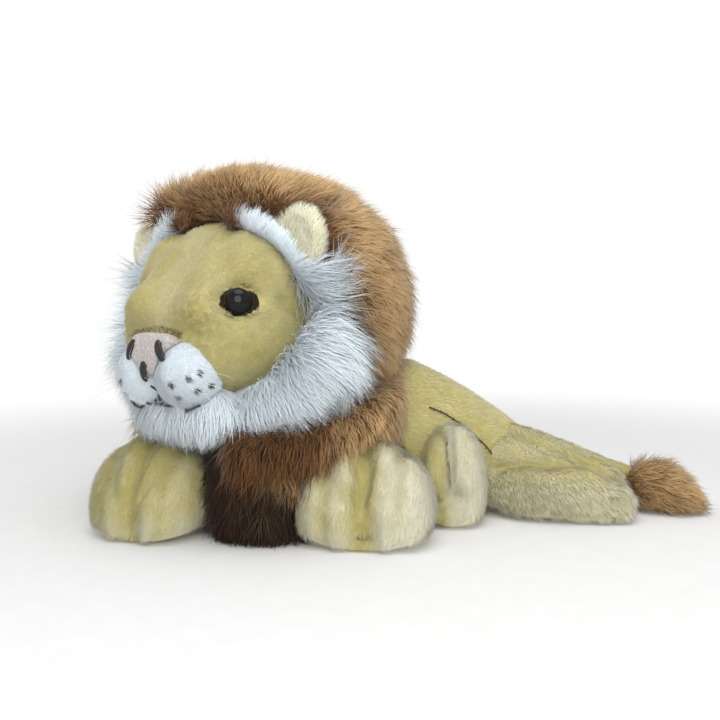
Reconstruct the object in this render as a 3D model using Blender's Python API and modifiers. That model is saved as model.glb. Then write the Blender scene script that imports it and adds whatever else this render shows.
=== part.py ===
"""Plush lion, lying down, with its head turned to its left.

The toy faces -Y, its left side is +X and +Z is up. The origin is on the flat of the belly.
Every limb is a sewn skin over its own stuffing, and swings about an upright axis at its root.
"""

import math

import bmesh
import bpy
import numpy as np
from mathutils import Matrix, Vector
from mathutils.bvhtree import BVHTree

# Fits shared by all pieces
GAP = 0.0004
WALL = 0.0022
SINK = 0.0005
TORSO_SINK = 0.0020
OVERRUN = 0.02
MERGE = 0.00002
FINE_MERGE = 0.000001
ROOM_MERGE = 0.0015
ROOM_GAP = 0.0012
ROOM_FLAT = 7.0
SWEEP_STEP = 5.0

# Torso
TORSO_LENGTH = 0.243
TORSO_WIDTH = 0.104
TORSO_HEIGHT = 0.118
PELLET_BAG_WIDTH = 0.058
PELLET_BAG_HEIGHT = 0.024
SEAM_THREAD_RADIUS = 0.0006

# Neck and head
NECK_HEIGHT = 0.088
NECK_TILT = 14.0
NECK_TILT_YAW = -80.0
NECK_SWEEP_RADIUS = 0.125
HEAD_YAW = -63.0
HEAD_FORWARD = 0.028
HEAD_WIDTH = 0.146
HEAD_LENGTH = 0.146
HEAD_HEIGHT = 0.138
MUZZLE_WIDTH = 0.074
MUZZLE_HEIGHT = 0.043
MUZZLE_DEPTH = 0.048
CHIN_WIDTH = 0.084
CHIN_HEIGHT = 0.036
CHIN_DEPTH = 0.048
NOSE_WIDTH = 0.038
NOSE_HEIGHT = 0.028
NOSE_THICKNESS = 0.0035
STITCH_LENGTH = 0.012
STITCH_WIDTH = 0.0042
STITCH_HEIGHT = 0.0042

# Eyes
EYE_RADIUS = 0.0088
EYE_DOME = 0.0062
EYE_STAND = 0.0020
SHANK_RADIUS = 0.0020
SHANK_LENGTH = 0.0150
LINER_LENGTH = 0.044
LINER_HEIGHT = 0.0195
LINER_THICKNESS = 0.0016
WASHER_RADIUS = 0.0070
WASHER_THICKNESS = 0.0014
WASHER_DEPTH = 0.0068

# Ears
EAR_WIDTH = 0.047
EAR_HEIGHT = 0.044
EAR_THICKNESS = 0.0120
EAR_BACK_FOLD = 14.0
EAR_FRONT_FOLD = -8.0

# Ruff and mane
RUFF_RADIUS = 0.023
MANE_WIDTH = 0.208
MANE_LENGTH = 0.162
MANE_HEIGHT = 0.182
CREST_ANGLE = 42.0
SHOULDER_MANE_RADIUS = 0.112
SHOULDER_MANE_BOTTOM = 0.048
SHOULDER_MANE_THICKNESS = 0.056
CHEST_MANE_WIDTH = 0.078
CHEST_MANE_DEPTH = 0.072
CHEST_MANE_HEIGHT = 0.082

# Forelegs
FORELEG_ROOT_RADIUS = 0.029
FORELEG_LEFT_REACH = 0.106
FORELEG_RIGHT_REACH = 0.135
FOREPAW_LEFT_WIDTH = 0.094
FOREPAW_RIGHT_WIDTH = 0.086
FOREPAW_HEIGHT = 0.066
TOE_DEPTH = 0.0055

# Hind legs
HIP_RADIUS = 0.037
HIP_HEIGHT = 0.068
HINDLEG_LEFT_REACH = 0.092
HINDLEG_LEFT_WIDTH = 0.072
HINDLEG_RIGHT_ROOT_RADIUS = 0.017
HINDLEG_RIGHT_REACH = 0.046
HINDLEG_RIGHT_WIDTH = 0.039
HINDLEG_RIGHT_HEIGHT = 0.065
HINDLEG_RIGHT_AHEAD = 0.0415

# Tail
TAIL_LENGTH = 0.070
TAIL_RADIUS = 0.0100
TAIL_ROOT_HEIGHT = 0.040
TAIL_END_HEIGHT = 0.026
TUFT_LENGTH = 0.056
TUFT_RADIUS = 0.0195

# Outlines as shares of the sizes above
# Spine: share of the torso's length from the chest, and sideways share of it
SPINE_SIDE_SHARES = (
    (0.000, -0.037), (0.123, -0.056), (0.270, -0.056), (0.527, 0.041),
    (0.737, 0.136), (0.889, 0.206), (1.000, 0.259),
)
BELLY_SHARE = 0.56
# Torso stations: along the spine, half width, bottom and top
TORSO_SHARES = (
    (0.035, 0.50, 0.12, 0.56), (0.130, 0.86, 0.0, 0.90), (0.270, 1.02, 0.0, 1.02),
    (0.430, 1.04, 0.0, 1.06), (0.580, 1.00, 0.0, 1.00), (0.740, 0.92, 0.0, 0.80),
    (0.880, 0.78, 0.0, 0.58), (0.965, 0.46, 0.06, 0.42),
)
TORSO_TIP_SHARES = (0.000, 1.000)
# Section points: sideways and upward, for a body that slumps on its underside
SLUMP_SHARES = (
    (0.00, 1.04), (0.60, 0.94), (1.00, 0.62), (1.02, 0.20), (0.56, 0.0), (-0.56, 0.0),
    (-1.02, 0.20), (-1.00, 0.62), (-0.60, 0.94),
)
ROUND_SHARES = tuple(
    (math.sin(math.tau * k / 12), 0.5 + 0.5 * math.cos(math.tau * k / 12)) for k in range(12)
)
# Paw section: sideways, upward and how much a point belongs to a valley between toes
PAW_SHARES = (
    (0.00, 1.00, 1.0), (0.24, 1.03, 0.0), (0.48, 0.95, 1.0), (0.76, 0.86, 0.0), (1.02, 0.46, 0.3),
    (0.92, 0.08, 0.0), (0.34, 0.00, 0.0), (-0.34, 0.00, 0.0), (-0.92, 0.08, 0.0),
    (-1.02, 0.46, 0.3), (-0.76, 0.86, 0.0), (-0.48, 0.95, 1.0), (-0.24, 1.03, 0.0),
)
# Foreleg: along the reach, half width, height, valleys
FORELEG_SHARES = (
    (0.00, 0.68, 0.68, 0.84, 0.0), (0.38, 0.74, 0.74, 0.86, 0.0),
    (0.66, 1.03, 1.03, 1.07, 0.5),
    (0.86, 1.00, 1.00, 0.96, 1.0), (0.965, 0.74, 0.74, 0.62, 1.3),
)
# Left hind leg: along the reach, front and back half width, height, valleys
HINDLEG_LEFT_SHARES = (
    (0.00, 1.02, 0.96, 1.00, 0.0), (0.24, 1.02, 0.72, 0.92, 0.0), (0.46, 1.00, 0.56, 0.80, 0.0),
    (0.68, 0.96, 0.48, 0.72, 0.2), (0.86, 0.82, 0.44, 0.62, 0.6), (0.965, 0.56, 0.34, 0.44, 0.9),
)
# Section of the left hind leg: the foot in front, the shank behind it and the crease between
HAUNCH_SHARES = (
    (0.06, 0.98, 0.0), (0.44, 1.03, 0.0), (0.82, 0.80, 0.0), (1.02, 0.42, 0.0), (0.86, 0.06, 0.0),
    (0.00, 0.00, 0.0), (-0.86, 0.06, 0.0), (-1.03, 0.36, 0.4), (-0.86, 0.66, 0.0),
    (-0.58, 0.80, 0.5), (-0.28, 0.88, 0.0),
)
HINDLEG_RIGHT_SHARES = (
    (0.00, 0.84, 0.84, 0.80, 0.0), (0.28, 0.96, 0.96, 1.00, 0.0),
    (0.56, 1.06, 1.06, 1.06, 0.3), (0.82, 1.00, 1.00, 0.98, 0.6),
    (0.955, 0.68, 0.68, 0.66, 0.8),
)
# Head stations: along the face axis, half width, bottom and top
HEAD_SHARES = (
    (-0.40, 0.46, -0.30, 0.28), (-0.25, 0.86, -0.46, 0.43), (-0.03, 1.02, -0.50, 0.505),
    (0.17, 0.96, -0.46, 0.475), (0.31, 0.82, -0.42, 0.340), (0.41, 0.66, -0.38, 0.155),
    (0.495, 0.49, -0.33, -0.010),
)
HEAD_TIP_SHARES = (-0.45, 0.545)
HEAD_SIT_SHARE = 0.4493
NECK_SHARE = 0.82
# Mane stations, measured the same way in shares of the mane
MANE_SHARES = (
    (-0.46, 0.46, -0.26, 0.32), (-0.34, 0.80, -0.38, 0.47), (-0.12, 0.98, -0.44, 0.56),
    (0.12, 1.03, -0.44, 0.595), (0.34, 0.98, -0.38, 0.590), (0.48, 0.78, -0.26, 0.540),
)
MANE_TIP_SHARES = (-0.55, 0.55)
MANE_BACK_SHARE = 0.285
MANE_FRONT_TOP_SHARES = (0.185, 0.51)
MANE_FRONT_SIDE_SHARES = (-0.155, -0.10)
# Ruff route: shares of head length, half width and height, then of the ruff's radius
RUFF_SHARES = (
    (0.220, 0.26, 0.480, 0.24), (0.170, 0.62, 0.445, 0.30), (0.120, 0.93, 0.325, 0.40),
    (0.070, 1.10, 0.140, 0.72), (0.030, 1.14, -0.100, 1.00), (0.090, 1.00, -0.300, 1.00),
    (0.190, 0.68, -0.435, 0.86), (0.250, 0.26, -0.470, 0.70),
)
MUZZLE_CENTRE_SHARES = (0.462, -0.260)
MUZZLE_LOBE_SHARE = 0.46
MUZZLE_LOBE_RADIUS_SHARE = 0.55
CHIN_CENTRE_SHARES = (0.350, -0.425)
NOSE_TILT = 14.0
NOSE_OUTLINE_SHARES = (
    (-0.50, 0.36), (-0.34, 0.50), (0.34, 0.50), (0.50, 0.36), (0.16, -0.40), (0.0, -0.50),
    (-0.16, -0.40),
)
LINER_OUTLINE_SHARES = tuple(
    (0.5 * math.cos(math.tau * k / 12), 0.5 * math.sin(math.tau * k / 12)
     * (1 - 0.55 * abs(math.cos(math.tau * k / 12)) ** 3)) for k in range(12)
)
# Stitches on the nose: sideways and up in shares of the nose, then their lean
STITCH_SHARES = {
    "nostril_stitch_left": (0.35, 0.16),
    "nostril_stitch_right": (-0.35, 0.16),
    "nose_centre_stitch": (0.0, -0.30),
}
STITCH_LEAN_ANGLES = {
    "nostril_stitch_left": 22.0, "nostril_stitch_right": -22.0, "nose_centre_stitch": 0.0,
}
EYE_START_SHARES = (0.14, 0.20, 0.055)
EYE_AIM = (0.72, 0.69, 0.06)
EYE_PROFILE_STEPS = 5
EAR_START_SHARE = 0.10
EAR_AIM = (0.02, 0.79, 0.61)
EAR_CENTRE_SHARE = 0.40
# Closing seam on the left flank: share along the spine and share of the torso's height
SEAM_SHARES = (
    (0.530, 0.76), (0.550, 0.725), (0.570, 0.69), (0.590, 0.66), (0.610, 0.635), (0.630, 0.615),
)
# Left and right shoulder manes: middle and half spread of the sector seen from the neck
SHOULDER_SECTOR_ANGLES = {"shoulder_mane_left": (22.0, 62.0), "shoulder_mane_right": (193.0, 48.0)}
CHEST_MANE_PLACE_SHARES = (0.010, 0.92)
TUFT_SHARES = (
    (0.06, 0.52, 0.20, 0.86), (0.26, 0.94, 0.04, 1.00), (0.54, 1.04, 0.00, 1.00),
    (0.80, 0.78, 0.02, 0.78), (0.95, 0.36, 0.08, 0.46),
)

# Section of the forms inside the limbs
PLAIN_SHARES = (
    (0.0, 1.0), (0.68, 0.90), (1.0, 0.46), (0.80, 0.06), (0.0, 0.0), (-0.80, 0.06), (-1.0, 0.46),
    (-0.68, 0.90),
)
EIGHT_SHARES = tuple(
    (math.sin(math.tau * k / 8), 0.5 + 0.5 * math.cos(math.tau * k / 8)) for k in range(8)
)
ROOT_TURNS = (48.0,)
HALF_SHARE = 0.5
END_SHARE = 0.05
VALLEY_SHARE = 0.6
ROOT_OPEN_SHARE = 0.5
TAIL_OPEN_SHARE = 1.0
TAIL_RINGS = 4
TAIL_TAPER = 0.15
EAR_DISH_SHARE = 0.8
EAR_SPLIT_SHARE = 0.12
SECTOR_RINGS = 6
BAG_SHARE = 0.42
BAG_YAW = -20.0
CHEST_RADIUS_SHARE = 0.62
CHEST_MANE_YAW = -30.0
SEAM_LIFT_SHARE = 0.6
NOSE_PLACE_SHARES = (0.550, -0.180)
NOSE_CAP_DEPTH = 0.0110
NOSE_CAP_SHARE = 0.70

# Limb roots: share along the spine and sideways share of the half width
LIMB_ROOT_SHARES = {
    "foreleg_left": (0.4556, 0.535),
    "foreleg_right": (0.0740, -1.083),
    "hindleg_left": (0.8424, 0.456),
    "hindleg_right": (0.8424, 0.702),
    "tail": (0.9716, 0.0),
}
# Which way each limb points, and how far it swings either way
LIMB_YAW_ANGLES = {
    "foreleg_left": -38.0, "foreleg_right": -50.0, "hindleg_left": 46.0, "hindleg_right": -35.0,
    "tail": 38.0,
}
LIMB_SWING_ANGLES = {
    "foreleg_left": (-8.0, 3.0), "foreleg_right": (-14.0, 5.0), "hindleg_left": (-11.0, 0.0),
    "hindleg_right": (-3.0, 3.0), "tail": (0.0, 25.0),
}

MATERIALS = {
    "tan_plush": ((0.56, 0.49, 0.27), 0.9, 0.0),
    "cream_plush": ((0.80, 0.76, 0.60), 0.9, 0.0),
    "white_plush": ((0.84, 0.86, 0.88), 0.9, 0.0),
    "mane_pile": ((0.36, 0.19, 0.07), 0.85, 0.0),
    "dark_pile": ((0.10, 0.05, 0.025), 0.85, 0.0),
    "stuffing": ((0.93, 0.93, 0.90), 0.95, 0.0),
    "pellet_cloth": ((0.75, 0.75, 0.72), 0.9, 0.0),
    "nose_velour": ((0.62, 0.52, 0.46), 0.8, 0.0),
    "black_thread": ((0.02, 0.02, 0.02), 0.5, 0.0),
    "black_felt": ((0.03, 0.025, 0.02), 0.95, 0.0),
    "eye_plastic": ((0.01, 0.01, 0.012), 0.08, 0.0),
    "washer_plastic": ((0.85, 0.85, 0.82), 0.4, 0.0),
}


def clear_scene():
    for old in list(bpy.data.objects):
        bpy.data.objects.remove(old, do_unlink=True)


def collection(name):
    made = bpy.data.collections.new(name)
    bpy.context.scene.collection.children.link(made)
    return made


def material(name):
    found = bpy.data.materials.get(name)
    if found:
        return found
    colour, roughness, metallic = MATERIALS[name]
    made = bpy.data.materials.new(name)
    made.use_nodes = True
    shader = made.node_tree.nodes["Principled BSDF"]
    shader.inputs["Base Color"].default_value = (*colour, 1.0)
    shader.inputs["Roughness"].default_value = roughness
    shader.inputs["Metallic"].default_value = metallic
    return made


def frame(name, place, yaw=0.0):
    """An empty on a joint's axis. Its +X runs out along the limb or the face."""
    empty = bpy.data.objects.new(name, None)
    parts.objects.link(empty)
    empty.location = place
    empty.rotation_euler = (0, 0, math.radians(yaw))
    bpy.context.view_layer.update()
    return empty


def mesh_object(name, verts, faces, parent=None):
    """A working form. It stays among the cutters until finish makes it a part."""
    mesh = bpy.data.meshes.new(name)
    mesh.from_pydata([tuple(v) for v in verts], [], faces)
    made = bpy.data.objects.new(name + "_form", mesh)
    guides.objects.link(made)
    made.parent = parent
    made.hide_render = True
    made.display_type = "WIRE"
    return made


def settle(form, merge=MERGE):
    """Apply the modifiers of a form to its mesh, and make all its faces triangles."""
    bpy.context.view_layer.update()
    graph = bpy.context.evaluated_depsgraph_get()
    mesh = bpy.data.meshes.new_from_object(form.evaluated_get(graph))
    old = form.data
    form.modifiers.clear()
    work = bmesh.new()
    work.from_mesh(mesh)
    bmesh.ops.remove_doubles(work, verts=work.verts, dist=merge)
    bmesh.ops.triangulate(work, faces=work.faces)
    work.to_mesh(mesh)
    work.free()
    form.data = mesh
    bpy.data.meshes.remove(old)
    return form


def ring_cage(name, rings, tips, parent=None, levels=1):
    """A coarse cage from like rings and two end points, made soft by Subdivision Surface."""
    rings = np.asarray(rings, float)
    count, around = rings.shape[:2]
    verts = [*rings.reshape(-1, 3), tips[0], tips[1]]
    faces = []
    for i in range(count - 1):
        for j in range(around):
            k = (j + 1) % around
            faces.append((i * around + j, i * around + k, (i + 1) * around + k, (i + 1) * around + j))
    first, last = count * around, count * around + 1
    for j in range(around):
        k = (j + 1) % around
        faces.append((first, k, j))
        faces.append((last, (count - 1) * around + j, (count - 1) * around + k))
    form = mesh_object(name, verts, faces, parent)
    soft = form.modifiers.new("Soft", "SUBSURF")
    soft.levels = levels
    soft.render_levels = levels
    settle(form)
    work = bmesh.new()
    work.from_mesh(form.data)
    bmesh.ops.recalc_face_normals(work, faces=work.faces)
    work.to_mesh(form.data)
    work.free()
    return form


def grown(form, by, turn=0.0, axis=None, about=None):
    """A cutter: the form with its surface moved out by a clearance, turned about its axis."""
    mesh = form.data.copy()
    work = bmesh.new()
    work.from_mesh(mesh)
    work.normal_update()
    moved = [v.co + v.normal * by for v in work.verts]
    for v, place in zip(work.verts, moved):
        v.co = place
    if turn:
        spin = Matrix.Rotation(math.radians(turn), 4, axis or Vector((0, 0, 1)))
        middle = Matrix.Translation(about or Vector((0, 0, 0)))
        bmesh.ops.transform(work, matrix=middle @ spin @ middle.inverted(), verts=work.verts)
    work.to_mesh(mesh)
    work.free()
    made = bpy.data.objects.new(form.name + "_cutter", mesh)
    guides.objects.link(made)
    made.parent = form.parent
    made.location = form.location
    made.rotation_euler = form.rotation_euler
    made.hide_render = True
    made.display_type = "WIRE"
    return made


def hull(points):
    work = bmesh.new()
    for point in points:
        work.verts.new(point)
    bmesh.ops.convex_hull(work, input=work.verts)
    bmesh.ops.delete(work, geom=[v for v in work.verts if not v.link_faces], context="VERTS")
    bmesh.ops.triangulate(work, faces=work.faces)
    bmesh.ops.recalc_face_normals(work, faces=work.faces)
    return work


def room(form, low, high, by=GAP, axis=None, about=None):
    """One cutter for all that a form sweeps on its hinge: the hull of its turned copies."""
    steps = max(1, math.ceil((high - low) / SWEEP_STEP))
    outward = grown(form, by)
    points = [v.co.copy() for v in outward.data.vertices]
    axis = axis or Vector((0, 0, 1))
    about = about or Vector((0, 0, 0))
    spread = []
    for k in range(steps + 1):
        turn = Matrix.Rotation(math.radians(low + (high - low) * k / steps), 3, axis)
        spread += [about + turn @ (point - about) for point in points]
    work = hull(spread)
    bmesh.ops.remove_doubles(work, verts=work.verts, dist=ROOM_MERGE)
    bmesh.ops.dissolve_limit(
        work, angle_limit=math.radians(ROOM_FLAT), verts=work.verts, edges=work.edges
    )
    corners = [v.co.copy() for v in work.verts]
    work.free()
    work = hull(corners)
    mesh = bpy.data.meshes.new(form.name + "_room")
    work.to_mesh(mesh)
    work.free()
    outward.data = mesh
    return outward


def boolean(form, others, operation):
    """Cut a form by its cutters, one after the other, or join or cross it with another."""
    for other in others:
        cut = form.modifiers.new("Cut", "BOOLEAN")
        cut.operation = operation
        cut.solver = "EXACT"
        cut.object = other
        settle(form, FINE_MERGE)
    return form


def copy_of(form, name):
    made = grown(form, 0.0)
    made.name = name
    return made


def finish(form, name, slot):
    """Make a form a part: its own name, material and smooth shading, among the parts."""
    drop_crumbs(form)
    guides.objects.unlink(form)
    parts.objects.link(form)
    form.name = name
    form.data.name = name
    form.hide_render = False
    form.display_type = "TEXTURED"
    form.data.materials.clear()
    form.data.materials.append(material(slot))
    form.data.shade_smooth()
    return form


def drop_crumbs(form):
    """Cuts can leave crumbs beside the body they trim: only the largest body is kept."""
    work = bmesh.new()
    work.from_mesh(form.data)
    left = set(work.verts)
    bodies = []
    while left:
        todo = [left.pop()]
        body = list(todo)
        while todo:
            vert = todo.pop()
            for edge in vert.link_edges:
                other = edge.other_vert(vert)
                if other in left:
                    left.remove(other)
                    todo.append(other)
                    body.append(other)
        bodies.append(body)
    bodies.sort(key=len)
    for body in bodies[:-1]:
        bmesh.ops.delete(work, geom=body, context="VERTS")
    work.to_mesh(form.data)
    work.free()


def box(name, size, centre, parent=None, turn=(0.0, 0.0, 0.0)):
    work = bmesh.new()
    bmesh.ops.create_cube(work, size=1.0)
    bmesh.ops.scale(work, vec=size, verts=work.verts)
    mesh = bpy.data.meshes.new(name)
    work.to_mesh(mesh)
    work.free()
    made = bpy.data.objects.new(name + "_form", mesh)
    guides.objects.link(made)
    made.parent = parent
    made.location = centre
    made.rotation_euler = [math.radians(a) for a in turn]
    made.hide_render = True
    made.display_type = "WIRE"
    return made


def ball(name, radii, centre, parent=None, turn=None, around=16, up=10):
    """An ellipsoid of three radii, turned by a rotation matrix and then placed."""
    work = bmesh.new()
    bmesh.ops.create_uvsphere(work, u_segments=around, v_segments=up, radius=1.0)
    bmesh.ops.scale(work, vec=radii, verts=work.verts)
    if turn is not None:
        bmesh.ops.transform(work, matrix=turn.to_4x4(), verts=work.verts)
    bmesh.ops.translate(work, vec=centre, verts=work.verts)
    bmesh.ops.triangulate(work, faces=work.faces)
    mesh = bpy.data.meshes.new(name)
    work.to_mesh(mesh)
    work.free()
    made = bpy.data.objects.new(name + "_form", mesh)
    guides.objects.link(made)
    made.parent = parent
    made.hide_render = True
    made.display_type = "WIRE"
    return made


def rod(name, radius, start, along, length, parent=None, sides=20):
    """A round bar that runs from start for length along a direction."""
    work = bmesh.new()
    bmesh.ops.create_cone(
        work, cap_ends=True, segments=sides, radius1=radius, radius2=radius, depth=length
    )
    bmesh.ops.translate(work, vec=(0, 0, length / 2), verts=work.verts)
    turn = Vector((0, 0, 1)).rotation_difference(Vector(along)).to_matrix().to_4x4()
    bmesh.ops.transform(work, matrix=turn, verts=work.verts)
    bmesh.ops.translate(work, vec=start, verts=work.verts)
    mesh = bpy.data.meshes.new(name)
    work.to_mesh(mesh)
    work.free()
    made = bpy.data.objects.new(name + "_form", mesh)
    guides.objects.link(made)
    made.parent = parent
    made.hide_render = True
    made.display_type = "WIRE"
    return made


def floor_cutter(high=0.0):
    """Everything below a height: it cuts flat what lies on the floor."""
    size = TORSO_LENGTH * 4
    return box("floor", (size, size, OVERRUN * 2), (0, 0, high - OVERRUN))


def hit(form, start, along):
    """Where a line from start first meets the inside of a form, in the form's own frame."""
    work = bmesh.new()
    work.from_mesh(form.data)
    tree = BVHTree.FromBMesh(work)
    place, normal, _, _ = tree.ray_cast(Vector(start), Vector(along).normalized())
    work.free()
    return place, normal


def spine(along):
    """Plan position on the spine and the direction across it, towards the lion's left."""
    shares = np.array(SPINE_SIDE_SHARES)

    def sideways(share):
        return float(np.interp(share, shares[:, 0], shares[:, 1])) * TORSO_LENGTH

    place = Vector((sideways(along), (along - BELLY_SHARE) * TORSO_LENGTH, 0))
    reach = 1 / len(SPINE_SIDE_SHARES)
    run = Vector((sideways(along + reach) - sideways(along - reach), 2 * reach * TORSO_LENGTH, 0))
    across = Vector((run.y, -run.x, 0)).normalized()
    return place, across


def torso_cage(name, inset, section=SLUMP_SHARES):
    """The torso: sections of the slumped shape, strung along the bent spine."""
    rings = []
    for along, width, bottom, top in TORSO_SHARES:
        place, across = spine(along)
        low = bottom * TORSO_HEIGHT + inset
        high = top * TORSO_HEIGHT - inset
        half = width * TORSO_WIDTH / 2 - inset
        rings.append([
            place + across * (half * side) + Vector((0, 0, low + (high - low) * up))
            for side, up in section
        ])
    tips = []
    for along, near, sign in zip(TORSO_TIP_SHARES, (TORSO_SHARES[0], TORSO_SHARES[-1]), (1, -1)):
        place, _ = spine(along)
        middle = (near[2] + near[3]) / 2 * TORSO_HEIGHT
        tips.append(place + Vector((0, sign * inset, middle)))
    return ring_cage(name, rings, tips)


def neck_axis():
    """Axis of the head's turn: tilted towards the chest so that the collar clears the back."""
    tilt = math.radians(NECK_TILT)
    yaw = math.radians(NECK_TILT_YAW)
    return Vector((math.sin(tilt) * math.cos(yaw), math.sin(tilt) * math.sin(yaw), math.cos(tilt)))


def neck_place():
    place, _ = spine(TORSO_SHARES[1][0] * NECK_SHARE)
    return place + Vector((0, 0, NECK_HEIGHT))


def limb_frame(name):
    along, side = LIMB_ROOT_SHARES[name]
    if name == "hindleg_right":
        along -= HINDLEG_RIGHT_AHEAD / TORSO_LENGTH
    place, across = spine(along)
    place += across * (side * TORSO_WIDTH / 2)
    return frame(name + "_swing", place, LIMB_YAW_ANGLES[name])


def limb_form(name, stations, section, sizes, parent, valley=0.0, inset=0.0):
    """A limb: a round root about the swing axis, then sections out to the toes."""
    reach, width, height, root = sizes
    root_height = height * stations[0][-2]
    rings = []
    for turn in ROOT_TURNS:
        back = math.cos(math.radians(turn))
        wide = math.sin(math.radians(turn))
        flat = (1 + back) / 2
        rings.append([
            (
                -(root - inset) * wide,
                (root - inset) * back * point[0],
                root_height / 2 + (root_height / 2 - inset) * flat * (2 * point[1] - 1),
            )
            for point in section
        ])
    for station in stations:
        along, front, behind, high, valleys = station
        ring = []
        for point in section:
            dip = valley * valleys * (point[2] if len(point) > 2 else 0.0)
            half = width / 2 * (behind if point[0] > 0 else front) - inset
            ring.append((
                along * (reach - inset) - dip * (along > HALF_SHARE),
                point[0] * max(half - dip, 0.0),
                inset + (height * high - 2 * inset) * point[1] - dip * (point[1] > HALF_SHARE),
            ))
        rings.append(ring)
    tips = (
        (-(root - inset), 0, root_height / 2),
        (reach - inset, 0, height * stations[-1][-2] * HALF_SHARE),
    )
    return ring_cage(name, rings, tips, parent)


def rounded(name, stations, tips, sizes, offset, section, parent, inset=0.0, levels=1):
    """Sections across the face axis: half width, bottom and top in shares of three sizes."""
    length, width, height = sizes
    rings = []
    for along, half, bottom, top in stations:
        low = bottom * height + inset
        high = top * height - inset
        wide = half * width / 2 - inset
        rings.append([
            (offset[0] + along * length, offset[1] + side * wide, offset[2] + low + (high - low) * up)
            for side, up in section
        ])
    ends = []
    for along, near, sign in zip(tips, (stations[0], stations[-1]), (1, -1)):
        middle = (near[2] + near[3]) / 2 * height
        ends.append((offset[0] + along * length + sign * inset, offset[1], offset[2] + middle))
    return ring_cage(name, rings, ends, parent, levels)


def tube(name, route, radii, parent, around=8, levels=1):
    """A rope of changing thickness along a route, with rounded ends."""
    route = np.asarray(route, float)
    run = np.gradient(route, axis=0)
    run /= np.linalg.norm(run, axis=1)[:, None]
    side = np.cross(run, (0.0, 0.0, 1.0))
    side += np.cross(run, (1.0, 0.0, 0.0)) * END_SHARE
    side /= np.linalg.norm(side, axis=1)[:, None]
    rise = np.cross(side, run)
    turn = np.linspace(0, math.tau, around, endpoint=False)
    ring = np.cos(turn)[None, :, None] * side[:, None] + np.sin(turn)[None, :, None] * rise[:, None]
    rings = route[:, None] + ring * np.asarray(radii)[:, None, None]
    first = route[0] - run[0] * radii[0] * HALF_SHARE
    last = route[-1] + run[-1] * radii[-1] * HALF_SHARE
    return ring_cage(name, rings, (first, last), parent, levels)


def turned(name, profile, place, along, parent, steps=14):
    """A turned piece: a profile of radius and height, spun about a direction by Screw."""
    mesh = bpy.data.meshes.new(name)
    edges = [(k, k + 1) for k in range(len(profile) - 1)]
    mesh.from_pydata([(radius, 0.0, height) for radius, height in profile], edges, [])
    made = bpy.data.objects.new(name + "_form", mesh)
    guides.objects.link(made)
    made.parent = parent
    made.hide_render = True
    made.display_type = "WIRE"
    spin = made.modifiers.new("Turn", "SCREW")
    spin.axis = "Z"
    spin.steps = steps
    spin.render_steps = steps
    spin.use_merge_vertices = True
    spin.merge_threshold = MERGE
    settle(made)
    work = bmesh.new()
    work.from_mesh(made.data)
    bmesh.ops.recalc_face_normals(work, faces=work.faces)
    turn = Vector((0, 0, 1)).rotation_difference(Vector(along)).to_matrix().to_4x4()
    bmesh.ops.transform(work, matrix=Matrix.Translation(place) @ turn, verts=work.verts)
    work.to_mesh(made.data)
    work.free()
    return made


def prism(name, outline, place, along, depth, parent, lean=0.0):
    """A flat outline pushed both ways along a direction, with its width kept level."""
    along = Vector(along).normalized()
    across = Vector((0, 0, 1)).cross(along).normalized()
    up = along.cross(across)
    spin = Matrix.Rotation(math.radians(lean), 3, along)
    across, up = spin @ across, spin @ up
    place = Vector(place)
    verts = [place + across * x + up * y - along * depth for x, y in outline]
    verts += [place + across * x + up * y + along * depth for x, y in outline]
    count = len(outline)
    faces = [tuple(reversed(range(count))), tuple(range(count, 2 * count))]
    faces += [(k, (k + 1) % count, (k + 1) % count + count, k + count) for k in range(count)]
    form = settle(mesh_object(name, verts, faces, parent))
    work = bmesh.new()
    work.from_mesh(form.data)
    bmesh.ops.recalc_face_normals(work, faces=work.faces)
    work.to_mesh(form.data)
    work.free()
    return form


def neck_slab(name, radius, side):
    """Everything above the neck plane (side 1) or below it (side -1), round the neck axis."""
    size = TORSO_LENGTH * 2
    start = neck_place() - neck_axis() * (side * GAP / 2)
    return rod(name, radius, start, neck_axis() * side, size, None, 32)


def make_limbs():
    """Outer forms, the forms inside them and swing ranges of the four legs and the tail."""
    limbs = {}
    specs = {
        "foreleg_left": (
            FORELEG_SHARES, PAW_SHARES,
            (FORELEG_LEFT_REACH, FOREPAW_LEFT_WIDTH, FOREPAW_HEIGHT, FORELEG_ROOT_RADIUS), TOE_DEPTH,
        ),
        "foreleg_right": (
            FORELEG_SHARES, PAW_SHARES,
            (FORELEG_RIGHT_REACH, FOREPAW_RIGHT_WIDTH, FOREPAW_HEIGHT, FORELEG_ROOT_RADIUS), TOE_DEPTH,
        ),
        "hindleg_left": (
            HINDLEG_LEFT_SHARES, HAUNCH_SHARES,
            (HINDLEG_LEFT_REACH, HINDLEG_LEFT_WIDTH, HIP_HEIGHT, HIP_RADIUS), TOE_DEPTH,
        ),
        "hindleg_right": (
            HINDLEG_RIGHT_SHARES, PAW_SHARES,
            (
                HINDLEG_RIGHT_REACH, HINDLEG_RIGHT_WIDTH, HINDLEG_RIGHT_HEIGHT,
                HINDLEG_RIGHT_ROOT_RADIUS,
            ), TOE_DEPTH * HALF_SHARE,
        ),
    }
    for name, (stations, section, sizes, valley) in specs.items():
        parent = limb_frame(name)
        outer = limb_form(name, stations, section, sizes, parent, valley)
        few = stations[::2]
        hollow = limb_form(name + "_hollow", few, PLAIN_SHARES, sizes, parent, 0.0,
                           WALL + valley * VALLEY_SHARE)
        core = limb_form(name + "_core", few, PLAIN_SHARES, sizes, parent, 0.0,
                         WALL + GAP + valley * VALLEY_SHARE)
        low = lowest(outer)
        for form in (outer, hollow, core):
            form.data.transform(Matrix.Translation((0, 0, -SINK - low)))
        limbs[name] = (outer, hollow, core, LIMB_SWING_ANGLES[name])
    limbs["tail"] = tail_forms()
    return limbs


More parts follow.
